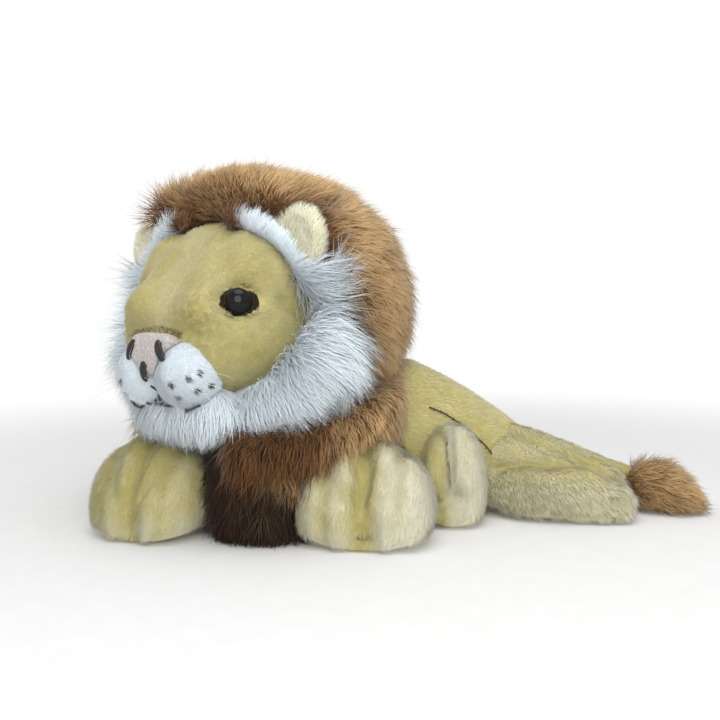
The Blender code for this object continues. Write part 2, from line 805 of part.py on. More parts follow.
def lowest(form):
    bpy.context.view_layer.update()
    return min((form.matrix_world @ v.co).z for v in form.data.vertices)


def tail_forms():
    parent = limb_frame("tail")
    shares = np.linspace(0, 1, TAIL_RINGS)
    heights = TAIL_ROOT_HEIGHT + (TAIL_END_HEIGHT - TAIL_ROOT_HEIGHT) * shares
    route = [(-TAIL_RADIUS + (TAIL_LENGTH + TAIL_RADIUS) * s, 0, h) for s, h in zip(shares, heights)]
    made = []
    for name, inset in (("tail", 0.0), ("tail_hollow", WALL), ("tail_core", WALL + GAP)):
        radii = [TAIL_RADIUS * (1 - TAIL_TAPER * s) - inset for s in shares]
        made.append(tube(name, route, radii, parent, 6))
    return (*made, LIMB_SWING_ANGLES["tail"])


def make_head(head):
    """Forms of the head, in the frame of its neck joint."""
    centre = Vector((HEAD_FORWARD, 0, HEAD_HEIGHT * HEAD_SIT_SHARE))
    sizes = (HEAD_LENGTH, HEAD_WIDTH, HEAD_HEIGHT)
    forms = {}
    for name, inset, section in (
        ("skin", 0.0, ROUND_SHARES), ("hollow", WALL, EIGHT_SHARES), ("core", WALL + GAP, EIGHT_SHARES)
    ):
        stations = HEAD_SHARES[::2] if inset else HEAD_SHARES
        forms[name] = rounded(
            "head_" + name, stations, HEAD_TIP_SHARES, sizes, centre, section, head, inset
        )
    at = Vector((MUZZLE_CENTRE_SHARES[0] * HEAD_LENGTH, 0, MUZZLE_CENTRE_SHARES[1] * HEAD_HEIGHT))
    at += centre
    radii = (MUZZLE_DEPTH / 2, MUZZLE_WIDTH / 2 * MUZZLE_LOBE_RADIUS_SHARE, MUZZLE_HEIGHT / 2)
    lobes = [
        ball("muzzle", radii, at + Vector((0, s * MUZZLE_WIDTH / 2 * MUZZLE_LOBE_SHARE, 0)), head,
             None, 16, 8)
        for s in (1, -1)
    ]
    forms["muzzle"] = boolean(lobes[0], [lobes[1]], "UNION")
    at = Vector((CHIN_CENTRE_SHARES[0] * HEAD_LENGTH, 0, CHIN_CENTRE_SHARES[1] * HEAD_HEIGHT)) + centre
    forms["chin"] = ball(
        "chin", (CHIN_DEPTH / 2, CHIN_WIDTH / 2, CHIN_HEIGHT / 2), at, head, None, 14, 8
    )
    for side, sign in (("left", 1), ("right", -1)):
        route = [
            centre + Vector((a * HEAD_LENGTH, sign * b * HEAD_WIDTH / 2, c * HEAD_HEIGHT))
            for a, b, c, _ in RUFF_SHARES
        ]
        radii = [RUFF_RADIUS * share for _, _, _, share in RUFF_SHARES]
        forms["ruff_" + side] = tube("ruff_" + side, route, radii, head)
    back = centre - Vector((MANE_BACK_SHARE * MANE_LENGTH, 0, 0))
    forms["mane"] = rounded(
        "mane", MANE_SHARES, MANE_TIP_SHARES, (MANE_LENGTH, MANE_WIDTH, MANE_HEIGHT), back,
        ROUND_SHARES, head, 0.0,
    )
    return forms, centre


def make_eye(side, sign, head, forms, centre):
    """Eye on its shank, the felt under it and the washer that locks it inside the head."""
    share = EYE_START_SHARES
    start = centre + Vector((
        share[0] * HEAD_LENGTH, sign * share[1] * HEAD_WIDTH / 2, share[2] * HEAD_HEIGHT
    ))
    aim = Vector((EYE_AIM[0], sign * EYE_AIM[1], EYE_AIM[2])).normalized()
    place, _ = hit(forms["skin"], start, aim)
    dome = [
        (
            EYE_RADIUS * math.cos(math.pi / 2 * k / EYE_PROFILE_STEPS),
            EYE_STAND + EYE_DOME * math.sin(math.pi / 2 * k / EYE_PROFILE_STEPS),
        )
        for k in range(EYE_PROFILE_STEPS)
    ]
    profile = [(0.0, -SHANK_LENGTH), (SHANK_RADIUS, -SHANK_LENGTH), (SHANK_RADIUS, EYE_STAND)]
    profile += [*dome, (0.0, EYE_STAND + EYE_DOME)]
    eye = turned("eye_" + side, profile, place, aim, head)
    hole = SHANK_RADIUS + GAP
    deep = -WASHER_DEPTH - WASHER_THICKNESS
    ring = [(hole, deep), (WASHER_RADIUS, deep), (WASHER_RADIUS, -WASHER_DEPTH), (hole, -WASHER_DEPTH)]
    washer = turned("eye_washer_" + side, [*ring, ring[0]], place, aim, head)
    outline = [(x * LINER_LENGTH, y * LINER_HEIGHT) for x, y in LINER_OUTLINE_SHARES]
    liner = prism("eye_liner_" + side, outline, place, aim, OVERRUN, head)
    boolean(liner, [grown(forms["skin"], LINER_THICKNESS)], "INTERSECT")
    return eye, washer, liner


def make_ear(side, sign, forms, centre):
    """Two panels of an ear, sewn round the edge, on a frame at the seam that it folds about."""
    head = forms["skin"].parent
    start = centre + Vector((EAR_START_SHARE * HEAD_LENGTH, 0, 0))
    aim = Vector((EAR_AIM[0], sign * EAR_AIM[1], EAR_AIM[2])).normalized()
    place, _ = hit(forms["skin"], start, aim)
    across = Vector((0, 0, 1)).cross(aim).cross(aim).normalized()
    facing = aim.cross(across).normalized()
    if facing.x < 0:
        across, facing = -across, -facing
    fold = frame("ear_" + side + "_fold", place)
    fold.parent = head
    bpy.context.view_layer.update()
    turn = Matrix((aim, across, facing)).transposed()
    middle = aim * (EAR_HEIGHT * EAR_CENTRE_SHARE)
    radii = (EAR_HEIGHT / 2, EAR_WIDTH / 2, EAR_THICKNESS / 2)
    whole = ball("ear_" + side, radii, middle, fold, turn, 18, 8)
    dish = ball(
        "ear_dish", [r * EAR_DISH_SHARE for r in radii], middle + facing * EAR_THICKNESS * HALF_SHARE,
        fold, turn, 14, 6,
    )
    boolean(whole, [dish], "DIFFERENCE")
    size = EAR_WIDTH * 2
    front = copy_of(whole, "ear_front")
    back = copy_of(whole, "ear_back")
    for form, way in ((front, -1), (back, 1)):
        start = middle - facing * (way * GAP / 2 + EAR_THICKNESS * EAR_SPLIT_SHARE)
        cutter = rod("ear_split", size, start, facing * way, size, fold)
        boolean(form, [cutter], "DIFFERENCE")
    return whole, front, back, across, fold


def sector(name, centre, half):
    """A crescent of long pile over one shoulder, under the collar of the mane."""
    neck = neck_place()
    rings = []
    for step in range(SECTOR_RINGS):
        share = step / (SECTOR_RINGS - 1) * 2 - 1
        angle = math.radians(centre + half * share)
        out = Vector((math.cos(angle), math.sin(angle), 0))
        slope = -neck_axis().dot(out) / neck_axis().z
        wide = SHOULDER_MANE_THICKNESS / 2 * math.sqrt(max(1 - share * share, END_SHARE))
        middle = neck.xy.to_3d() + out * (SHOULDER_MANE_RADIUS - SHOULDER_MANE_THICKNESS / 2)
        top = NECK_HEIGHT + slope * SHOULDER_MANE_RADIUS + OVERRUN
        rings.append([
            middle + out * (wide * side) + Vector((0, 0, SHOULDER_MANE_BOTTOM
                                                   + (top - SHOULDER_MANE_BOTTOM) * up))
            for side, up in EIGHT_SHARES
        ])
    ends = [sum(rings[k], Vector()) / len(EIGHT_SHARES) for k in (0, -1)]
    return ring_cage(name, rings, ends)


def main():
    floor = floor_cutter()
    torso = torso_cage("torso", 0.0)
    low = lowest(torso)
    hollow = torso_cage("torso_hollow", WALL, PLAIN_SHARES)
    core = torso_cage("torso_core", WALL + GAP, PLAIN_SHARES)
    for form in (torso, hollow, core):
        form.data.transform(Matrix.Translation((0, 0, -TORSO_SINK - low)))
    boolean(hollow, [floor_cutter(WALL)], "DIFFERENCE")
    boolean(core, [floor_cutter(WALL + GAP)], "DIFFERENCE")
    limbs = make_limbs()
    head = frame("head_turn", neck_place(), HEAD_YAW)
    forms, centre = make_head(head)
    collar = neck_slab("collar", NECK_SWEEP_RADIUS, 1)
    below = neck_slab("below_neck", TORSO_LENGTH, -1)

    swept = {name: room(limb[0], *limb[3], ROOM_GAP) for name, limb in limbs.items()}
    # Torso: cut away where each limb swings and where the head turns
    gaps = [*swept.values(), collar]
    shell = boolean(copy_of(torso, "torso_shell"), [hollow, *gaps, floor], "DIFFERENCE")
    boolean(core, gaps, "DIFFERENCE")
    bag_size = (PELLET_BAG_WIDTH, TORSO_LENGTH * BAG_SHARE, PELLET_BAG_HEIGHT * 2)
    bag_box = box("bag_box", bag_size, (0, 0, 0), None, (0, 0, BAG_YAW))
    bag = boolean(copy_of(core, "bag"), [bag_box], "INTERSECT")
    boolean(core, [grown(bag_box, GAP)], "DIFFERENCE")
    seam = seam_thread(torso)
    solid_torso = grown(torso, GAP)
    chest = chest_mane(solid_torso, swept, collar, floor)
    pads = {}
    for name, (middle, half) in SHOULDER_SECTOR_ANGLES.items():
        pad = sector(name, middle, half)
        cutters = [solid_torso, collar, grown(chest, GAP)]
        for leg in ("foreleg_left", "foreleg_right", "hindleg_left", "hindleg_right"):
            cutters.append(swept[leg])
        pads[name] = boolean(pad, cutters, "DIFFERENCE")
    finish(shell, "torso_skin", "tan_plush")
    finish(core, "torso_stuffing", "stuffing")
    finish(bag, "belly_pellet_bag", "pellet_cloth")
    finish(seam, "closing_seam_thread", "black_thread")
    finish(chest, "chest_mane", "dark_pile")
    for name, pad in pads.items():
        finish(pad, name, "mane_pile")

    # Right hind paw gives way to the left haunch
    rear = swept["hindleg_left"]
    for form in limbs["hindleg_right"][:3]:
        boolean(form, [rear], "DIFFERENCE")
    for name, (outer, inner, stuffing, _) in limbs.items():
        if name == "tail":
            finish_tail(limbs[name], floor)
            continue
        opening = box(
            "opening", (TORSO_WIDTH, TORSO_WIDTH, TORSO_HEIGHT * 2),
            (-TORSO_WIDTH / 2 - ROOT_OPEN_SHARE * root_radius(name), 0, 0), outer.parent,
        )
        skin = boolean(copy_of(outer, name), [inner, opening, floor], "DIFFERENCE")
        finish(skin, name + "_skin", "tan_plush")
        finish(stuffing, name + "_stuffing", "stuffing")

    finish_head(head, forms, centre, below)


def root_radius(name):
    return {
        "hindleg_left": HIP_RADIUS, "hindleg_right": HINDLEG_RIGHT_ROOT_RADIUS,
    }.get(name, FORELEG_ROOT_RADIUS)


def chest_mane(solid_torso, swept, collar, floor):
    """Dark pile that hangs from the chest to the floor between the forelegs."""
    along, side = CHEST_MANE_PLACE_SHARES
    place, across = spine(along)
    place = place + across * (side * TORSO_WIDTH / 2)
    radii = (CHEST_MANE_DEPTH / 2, CHEST_MANE_WIDTH / 2, CHEST_MANE_HEIGHT * CHEST_RADIUS_SHARE)
    turn = Matrix.Rotation(math.radians(CHEST_MANE_YAW), 3, "Z")
    place.z = CHEST_MANE_HEIGHT - radii[2]
    form = ball("chest_mane", radii, place, None, turn, 14, 10)
    cutters = [solid_torso, swept["foreleg_left"], swept["foreleg_right"], collar, floor]
    return boolean(form, cutters, "DIFFERENCE")


def seam_thread(torso):
    """One run of hand stitching down the left flank, laid on the skin."""
    route = []
    for along, high in SEAM_SHARES:
        place, across = spine(along)
        place.z = high * TORSO_HEIGHT
        spot, normal = hit(torso, place, across)
        route.append(spot + normal * (SEAM_THREAD_RADIUS * SEAM_LIFT_SHARE + GAP))
    thread = tube("thread", route, [SEAM_THREAD_RADIUS] * len(route), None, 6, 0)
    return boolean(thread, [grown(torso, GAP)], "DIFFERENCE")


def finish_tail(limb, floor):
    outer, inner, stuffing, _ = limb
    parent = outer.parent
    opening = box(
        "opening", (TAIL_RADIUS, TAIL_RADIUS * 4, TORSO_HEIGHT * 2),
        (-TAIL_RADIUS * TAIL_OPEN_SHARE, 0, 0), parent,
    )
    skin = boolean(copy_of(outer, "tail"), [inner, opening], "DIFFERENCE")
    sizes = (TUFT_LENGTH, TUFT_RADIUS * 2, TUFT_RADIUS * 2)
    start = (TAIL_LENGTH - TUFT_LENGTH * END_SHARE * 2, 0, 0)
    tuft = rounded("tuft", TUFT_SHARES, (0.0, 1.0), sizes, start, EIGHT_SHARES, parent)
    tuft.data.transform(Matrix.Translation((0, 0, -SINK - lowest(tuft))))
    boolean(tuft, [grown(outer, GAP), floor], "DIFFERENCE")
    finish(skin, "tail_skin", "tan_plush")
    finish(stuffing, "tail_stuffing", "stuffing")
    finish(tuft, "tail_tuft", "mane_pile")


def finish_head(head, forms, centre, below):
    """Cut the pieces of the head by each other, from the skin outwards."""
    skin = forms["skin"]
    solid = grown(skin, GAP)
    eyes = {}
    for side, sign in (("left", 1), ("right", -1)):
        eyes[side] = make_eye(side, sign, head, forms, centre)
    eye_cutters = [grown(eye, GAP) for eye, _, _ in eyes.values()]
    washer_cutters = [rod(
        "washer_room", WASHER_RADIUS + GAP, *washer_room(eyes_side), WASHER_THICKNESS + GAP * 2, head
    ) for eyes_side in eye_places(forms, centre)]
    shell = boolean(copy_of(skin, "head_shell"), [forms["hollow"], below, *eye_cutters, *washer_cutters],
                    "DIFFERENCE")
    boolean(forms["core"], [below, *eye_cutters, *washer_cutters], "DIFFERENCE")

    muzzle_room = grown(forms["muzzle"], GAP)
    muzzle = boolean(forms["muzzle"], [solid], "DIFFERENCE")
    chin_room = grown(forms["chin"], GAP)
    chin = boolean(forms["chin"], [solid, muzzle_room, below], "DIFFERENCE")
    aim = Vector((math.cos(math.radians(NOSE_TILT)), 0, math.sin(math.radians(NOSE_TILT))))
    place = centre + Vector((NOSE_PLACE_SHARES[0] * HEAD_LENGTH, 0, NOSE_PLACE_SHARES[1] * HEAD_HEIGHT))
    outline = [(x * NOSE_WIDTH, y * NOSE_HEIGHT) for x, y in NOSE_OUTLINE_SHARES]
    nose = prism("nose", outline, place, aim, OVERRUN, head)
    cap = ball("nose_cap", (NOSE_CAP_DEPTH, NOSE_WIDTH * NOSE_CAP_SHARE, NOSE_HEIGHT * NOSE_CAP_SHARE),
               place, head, None, 16, 8)
    cap_room = grown(cap, GAP)
    boolean(nose, [cap], "INTERSECT")
    boolean(nose, [solid, muzzle_room], "DIFFERENCE")
    drop_crumbs(nose)
    stitches = {}
    for name, (side, high) in STITCH_SHARES.items():
        start = place + Vector((OVERRUN * 2, side * NOSE_WIDTH, high * NOSE_HEIGHT))
        spot, _ = hit(nose, start, (-1, 0, 0))
        spot = spot or place
        turn = Matrix.Rotation(math.radians(STITCH_LEAN_ANGLES[name]), 3, "X")
        radii = (STITCH_HEIGHT / 2, STITCH_WIDTH / 2, STITCH_LENGTH / 2)
        stitch = ball(name, radii, spot, head, turn, 8, 6)
        stitches[name] = boolean(stitch, [cap_room, muzzle_room, solid], "DIFFERENCE")

    liners = {}
    for side in eyes:
        eye, washer, liner = eyes[side]
        liners[side] = boolean(liner, [solid, grown(eye, GAP)], "DIFFERENCE")
    ears = {side: make_ear(side, sign, forms, centre) for side, sign in (("left", 1), ("right", -1))}
    ear_rooms = []
    for side, (whole, front, back, across, fold) in ears.items():
        ear_rooms.append(room(whole, EAR_FRONT_FOLD, EAR_BACK_FOLD, ROOM_GAP, across))
        heads = [
            grown(skin, GAP, -turn, across, fold.location)
            for turn in (EAR_FRONT_FOLD, 0.0, EAR_BACK_FOLD * HALF_SHARE, EAR_BACK_FOLD)
        ]
        for form in (front, back):
            boolean(form, heads, "DIFFERENCE")
    ruff_cutters = [solid, muzzle_room, chin_room, below, *ear_rooms]
    size = MANE_WIDTH * 2
    half_box = {
        side: box("half", (size, size, size), (0, -sign * (size / 2 - GAP / 2), 0), head)
        for side, sign in (("left", 1), ("right", -1))
    }
    ruffs = {}
    ruff_rooms = [grown(forms["ruff_" + side], GAP) for side in ("left", "right")]
    for side in ("left", "right"):
        ruffs[side] = boolean(forms["ruff_" + side], [*ruff_cutters, half_box[side]], "DIFFERENCE")
    mane = forms["mane"]
    top = Vector((MANE_FRONT_TOP_SHARES[0] * MANE_LENGTH, 0, MANE_FRONT_TOP_SHARES[1] * MANE_HEIGHT))
    foot = Vector((MANE_FRONT_SIDE_SHARES[0] * MANE_LENGTH, 0, MANE_FRONT_SIDE_SHARES[1] * MANE_HEIGHT))
    lean = top - foot
    ahead = Vector((lean.z, 0, -lean.x)).normalized()
    front_cut = rod("mane_front", size, centre + top, ahead, size, head)
    mane_cutters = [front_cut, solid, below, *ear_rooms, *ruff_rooms]
    boolean(mane, mane_cutters, "DIFFERENCE")
    wedge = crest_wedge(head, centre, size)
    wedge_room = grown(wedge, 0.0)
    wedge_room.data = crest_wedge(head, centre - Vector((0, 0, GAP / 2)), size).data
    crest = boolean(copy_of(mane, "crest"), [wedge], "INTERSECT")
    halves = {
        side: boolean(copy_of(mane, "mane_" + side), [wedge_room, half_box[side]], "DIFFERENCE")
        for side in ("left", "right")
    }

    finish(shell, "head_skin", "tan_plush")
    finish(forms["core"], "head_stuffing", "stuffing")
    finish(muzzle, "muzzle", "white_plush")
    finish(chin, "chin_tuft", "white_plush")
    finish(nose, "nose_patch", "nose_velour")
    for name, stitch in stitches.items():
        finish(stitch, name, "black_thread")
    for side in ("left", "right"):
        eye, washer, _ = eyes[side]
        finish(eye, "eye_" + side, "eye_plastic")
        finish(washer, "eye_washer_" + side, "washer_plastic")
        finish(liners[side], "eye_liner_" + side, "black_felt")
        finish(ears[side][1], "ear_" + side + "_front", "cream_plush")
        finish(ears[side][2], "ear_" + side + "_back", "tan_plush")
        finish(ruffs[side], "ruff_" + side, "white_plush")
        finish(halves[side], "mane_" + side, "mane_pile")
    finish(crest, "mane_crest", "mane_pile")


def eye_places(forms, centre):
    """Where each shank goes through the head skin, and which way it points."""
    found = []
    for sign in (1, -1):
        share = EYE_START_SHARES
        start = centre + Vector((
            share[0] * HEAD_LENGTH, sign * share[1] * HEAD_WIDTH / 2, share[2] * HEAD_HEIGHT
        ))
        aim = Vector((EYE_AIM[0], sign * EYE_AIM[1], EYE_AIM[2])).normalized()
        found.append((hit(forms["skin"], start, aim)[0], aim))
    return found


def washer_room(place_and_aim):
    place, aim = place_and_aim
    return place - aim * (WASHER_DEPTH + WASHER_THICKNESS + GAP), aim


def crest_wedge(head, apex, size):
    """A wedge that opens upwards from the middle of the head by the angle of the crest."""
    spread = math.tan(math.radians(CREST_ANGLE)) * size
    verts = []
    for x in (-size, size):
        verts += [apex + Vector((x, 0, 0)), apex + Vector((x, spread, size)),
                  apex + Vector((x, -spread, size))]
    faces = [(0, 1, 2), (3, 5, 4), (0, 3, 4, 1), (1, 4, 5, 2), (2, 5, 3, 0)]
    form = mesh_object("wedge", verts, faces, head)
    work = bmesh.new()
    work.from_mesh(form.data)
    bmesh.ops.recalc_face_normals(work, faces=work.faces)
    work.to_mesh(form.data)
    work.free()
    return form


clear_scene()
parts = collection("plush_lion")
guides = collection("cutters")
main()
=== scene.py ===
"""Plush lion: backing cloth, pile, face, stitches and stage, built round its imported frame.

Every hair is a small closed spike. Its path is a curve from a root on the cloth, worked out for
all hairs of a piece at once: the hair leaves the cloth at a lift angle and bends to the combing.
"""

import math
from functools import cache, partial

import bpy
import numpy as np
from mathutils import Matrix, Vector
from mathutils.bvhtree import BVHTree


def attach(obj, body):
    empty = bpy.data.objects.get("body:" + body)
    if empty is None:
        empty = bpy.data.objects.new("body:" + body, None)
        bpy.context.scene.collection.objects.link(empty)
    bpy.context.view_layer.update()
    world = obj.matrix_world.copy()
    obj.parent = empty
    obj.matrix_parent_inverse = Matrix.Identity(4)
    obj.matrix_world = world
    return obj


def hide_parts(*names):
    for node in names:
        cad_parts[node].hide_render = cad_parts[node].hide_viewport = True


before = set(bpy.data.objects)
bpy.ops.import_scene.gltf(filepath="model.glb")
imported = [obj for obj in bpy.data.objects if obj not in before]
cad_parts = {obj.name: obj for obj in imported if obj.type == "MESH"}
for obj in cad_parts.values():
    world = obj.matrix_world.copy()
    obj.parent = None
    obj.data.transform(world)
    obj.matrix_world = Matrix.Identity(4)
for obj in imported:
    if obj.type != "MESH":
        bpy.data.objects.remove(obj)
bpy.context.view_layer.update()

bl_info = {
    "name": "Plush Lion",
    "version": (1, 0, 0),
    "blender": (4, 5, 0),
    "location": "View3D > Sidebar > Plush Lion",
    "description": "Cloth, pile, face, stitches and stage of a lying plush lion",
    "category": "Object",
}

# The head: the middle of its skin, the way its face points and its left side
HEAD = np.array((-0.0003, -0.1351, 0.150))
HEAD_YAW = math.radians(-63.0)
FACE = np.array((math.cos(HEAD_YAW), math.sin(HEAD_YAW), 0.0))
LEFT = np.array((-FACE[1], FACE[0], 0.0))
UP = np.array((0.0, 0.0, 1.0))
DOWN = -UP
EYE_AIM = np.array((0.72, 0.69, 0.06))
BODY_LEFT = np.array((0.94, -0.35, 0.0))
SIDES = {"left": 1, "right": -1}

# The photograph's camera
CAMERA = np.array((0.5341, -0.343, 0.155))
CAMERA_YAW = math.radians(60.0)
CAMERA_PITCH = math.radians(-3.67)
CAMERA_RIGHT = np.array((math.cos(CAMERA_YAW), math.sin(CAMERA_YAW), 0.0))
CAMERA_LEVEL = np.array((-math.sin(CAMERA_YAW), math.cos(CAMERA_YAW), 0.0))
CAMERA_AHEAD = CAMERA_LEVEL * math.cos(CAMERA_PITCH) + UP * math.sin(CAMERA_PITCH)
LENS_MM = 39.0
SENSOR_MM = 36.0
FRAME_PIXELS = 720

# Hair: the corners of its section, how much thinner it gets towards the tip, the least and the
# most of the set width that a hair has, how late along a hair its lock draws together, and the
# shortest hair
STRAND_SIDES = 3
THINNER = 0.62
THICKNESS = (0.75, 1.25)
DRAW_POWER = 1.4
SHORTEST = 0.0006

# Roots: the lowest, the tilt and height below which cloth rests on the floor, how many lines go
# to the side, and how far a line must get to be out
LOWEST_ROOT = 0.0012
RESTING_TILT = -0.60
RESTING_HEIGHT = 0.010
SIDE_LINES = 6
OUTSIDE = 0.10

# The floor: how far above it hair and cloth stay, the small steps in height that keep hairs
# apart there, and half its side
FLOOR_LIFT = 0.0003
FLOOR_STEP = 0.00004
FLOOR_STEPS = 7
FLOOR_SIZE = 3.0

# Square centimetres in a square metre, the cell in which corners of a solid are one point, how
# far cloth stands off its solid, and how much of an evening step is taken back
CM2_IN_M2 = 10000
CELL = 0.00003
CLOTH_PUSH = 0.0002
BACK_SHARE = 0.97

# The eye button
EYE_DOME = 0.0062
EYE_SHANK = 0.0020
EYE_RIM = 0.0006
EYE_BACK = 0.0004

# Satin stitches: how far they go past the patch at their ends and sides, how high they stand over
# it and how deep their ends go
SATIN_LONGER = 1.18
SATIN_WIDER = 1.15
SATIN_RISE = 0.0009
SATIN_DEPTH = 0.0012

# Node: piece, body, slot and, for a padded piece, its fill
PANELS = (("front", "inner", "cream_plush"), ("back", "outer", "tan_plush"))
BACKINGS = {
    "torso_skin": ("torso_cloth", "torso", "tan_plush", 0.9),
    "head_skin": ("head_cloth", "head", "tan_plush", 0.95),
    "muzzle": ("muzzle_cloth", "head", "white_plush", 0.9),
    "chin_tuft": ("chin_cloth", "head", "white_plush", 0.6),
    **{f"ruff_{s}": (f"ruff_{s}_cloth", "head", "white_plush", None) for s in SIDES},
    **{f"mane_{s}": (f"mane_{s}_cloth", "head", "mane_pile", None) for s in ("crest", *SIDES)},
    "chest_mane": ("chest_cloth", "torso", "dark_pile", None),
    **{f"shoulder_mane_{s}": (f"shoulder_{s}_cloth", "torso", "mane_pile", None) for s in SIDES},
    **{f"ear_{s}_{panel}": (f"ear_{s}_{name}", "ear_" + s, slot, None)
       for s in SIDES for panel, name, slot in PANELS},
    **{f"{leg}_{s}_skin": (f"{leg}_{s}_cloth", f"{leg}_{s}", "tan_plush", fill)
       for leg, fill in (("foreleg", 0.9), ("hindleg", 0.85)) for s in SIDES},
    "tail_skin": ("tail_cloth", "tail", "tan_plush", 0.6),
    "tail_tuft": ("tuft_cloth", "tail", "mane_pile", None),
}
FILLINGS = {
    "torso_stuffing": ("torso_filling", "torso", "stuffing"),
    "belly_pellet_bag": ("pellet_bag", "torso", "pellet_cloth"),
    **{f"{body}_stuffing": (f"{body}_filling", body, "stuffing") for body in (
        "head", "foreleg_left", "foreleg_right", "hindleg_left", "hindleg_right", "tail")},
}

# A limb's root, the yaw it points at, its reach and width, and how deep its toe valleys are
PAWS = {
    "foreleg_left_skin": ((0.02928, -0.03562, 0.0), -38.0, 0.106, 0.094, 1.0),
    "foreleg_right_skin": ((-0.06796, -0.12183, 0.0), -50.0, 0.135, 0.086, 0.55),
    "hindleg_left_skin": ((0.06634, 0.05862, 0.0), 46.0, 0.092, 0.072, 0.30),
    "hindleg_right_skin": ((0.05909, 0.01202, 0.0), -35.0, 0.046, 0.039, 0.0),
}
# A toe seam's place across the paw, depth and breadth
TOE_SEAMS = ((-0.52, 0.0026, 0.11), (0.04, 0.0085, 0.20), (0.52, 0.0030, 0.11))

# How hair grows: where its rings are, the angles at its root and tip and how they vary, how much
# it sags, the size of a lock and how far it draws together, how uneven hairs and locks are, and
# its waves
PLUSH_STYLE = {
    "shares": (0.0,), "lift": 40.0, "lie": 12.0, "ruffle": 9.0, "stray": 20.0, "sag": 0.08,
    "lock": 0.0060, "draw": 0.16, "uneven": 0.26, "tiers": 0.16, "waves": 0.5, "swing": 0.03,
    "soft": 0.92,
}
FACE_STYLE = {**PLUSH_STYLE, "stray": 26.0, "draw": 0.28, "tiers": 0.32, "ruffle": 11.0}
MANE_STYLE = {
    "shares": (0.0, 0.52), "lift": 60.0, "lie": 24.0, "ruffle": 16.0, "stray": 22.0, "sag": 0.14,
    "draw": 0.30, "uneven": 0.50, "tiers": 0.45, "waves": 0.6, "swing": 0.05, "soft": 0.74,
}
RUFF_STYLE = {
    "shares": (0.0, 0.50), "lift": 34.0, "lie": 10.0, "ruffle": 9.0, "stray": 14.0, "sag": 0.16,
    "lock": 0.0085, "draw": 0.30, "uneven": 0.50, "tiers": 0.40, "waves": 0.6, "swing": 0.05,
    "soft": 0.87,
}


# Settings -------------------------------------------------------------------------------------


def metres(name, about, value, low, high):
    return bpy.props.FloatProperty(name=name, description=about, default=value, min=low, max=high,
                                   subtype="DISTANCE", unit="LENGTH")


def number(name, about, value, low, high, unit="NONE"):
    return bpy.props.FloatProperty(name=name, description=about, default=value, min=low, max=high,
                                   unit=unit)


def paint(name, about, value):
    return bpy.props.FloatVectorProperty(name=name, description=about, default=value, size=3,
                                         min=0.0, max=1.0, subtype="COLOR")


class ShortPile(bpy.types.PropertyGroup):
    """Short velvety pile of the body, legs, head and ears."""

    length: metres("Length", "Length of a hair on the body", 0.0060, 0.001, 0.03)
    width: metres("Width", "Thickness of a hair at its root", 0.00050, 0.0001, 0.003)
    density: number("Density", "Hairs on a square centimetre of cloth", 105.0, 1.0, 400.0)
    colour: paint("Colour", "Tan of the pile", (0.65, 0.585, 0.245))
    # The deep colour is painted shade: a darker tan at the roots, deep in the pile
    deep: paint("Deep colour", "Tan at the roots of the pile", (0.52, 0.445, 0.165))
    pale: paint("Pale colour", "Cream of the paws and ears", (0.90, 0.87, 0.66))


class LongPile(bpy.types.PropertyGroup):
    """Long pile of the mane, chest and tail tuft."""

    length: metres("Length", "Length of a hair of the mane", 0.022, 0.004, 0.08)
    width: metres("Width", "Thickness of a hair at its root", 0.00056, 0.0001, 0.003)
    density: number("Density", "Hairs on a square centimetre of cloth", 60.0, 1.0, 200.0)
    lock: metres("Lock", "Width of a lock of hair", 0.0075, 0.001, 0.05)
    colour: paint("Colour", "Caramel of the mane", (0.64, 0.43, 0.205))
    # The deep colour is the mane's own rust brown, darkened as painted shade deep in the mane
    deep: paint("Deep colour", "Rust brown deep in the mane", (0.19, 0.085, 0.028))
    dark: paint("Dark colour", "Dark brown of the chest", (0.035, 0.018, 0.009))


class WhitePile(bpy.types.PropertyGroup):
    """White pile of the ruff, chin and muzzle."""

    length: metres("Length", "Length of a hair of the ruff", 0.033, 0.004, 0.06)
    density: number("Density", "Hairs on a square centimetre of cloth", 76.0, 1.0, 200.0)
    # The white is tinted blue as painted cool light, and the grey-blue deep colour at the roots is
    # painted shade deep in the pile
    colour: paint("Colour", "White of the pile", (0.86, 0.95, 1.0))
    deep: paint("Deep colour", "Grey at the roots", (0.68, 0.76, 0.83))


class FaceSettings(bpy.types.PropertyGroup):
    """Eyes, nose and stitches of the face."""

    thread: metres("Thread", "Thickness of the embroidery thread", 0.0009, 0.0002, 0.003)
    nose: paint("Nose", "Colour of the nose velour", (0.66, 0.60, 0.57))
    whisker: metres("Whisker", "Length of a whisker", 0.034, 0.005, 0.1)


class StageSettings(bpy.types.PropertyGroup):
    """Floor, lamps and camera."""

    key: number("Key lamp", "Power of the soft lamp above", 5.0, 0.0, 200.0, "POWER")
    fill: number("Fill lamp", "Power of the soft lamp in front", 5.8, 0.0, 200.0, "POWER")
    sky: number("Room light", "Strength of the light from the room", 0.66, 0.0, 2.0)


# Meshes ---------------------------------------------------------------------------------------


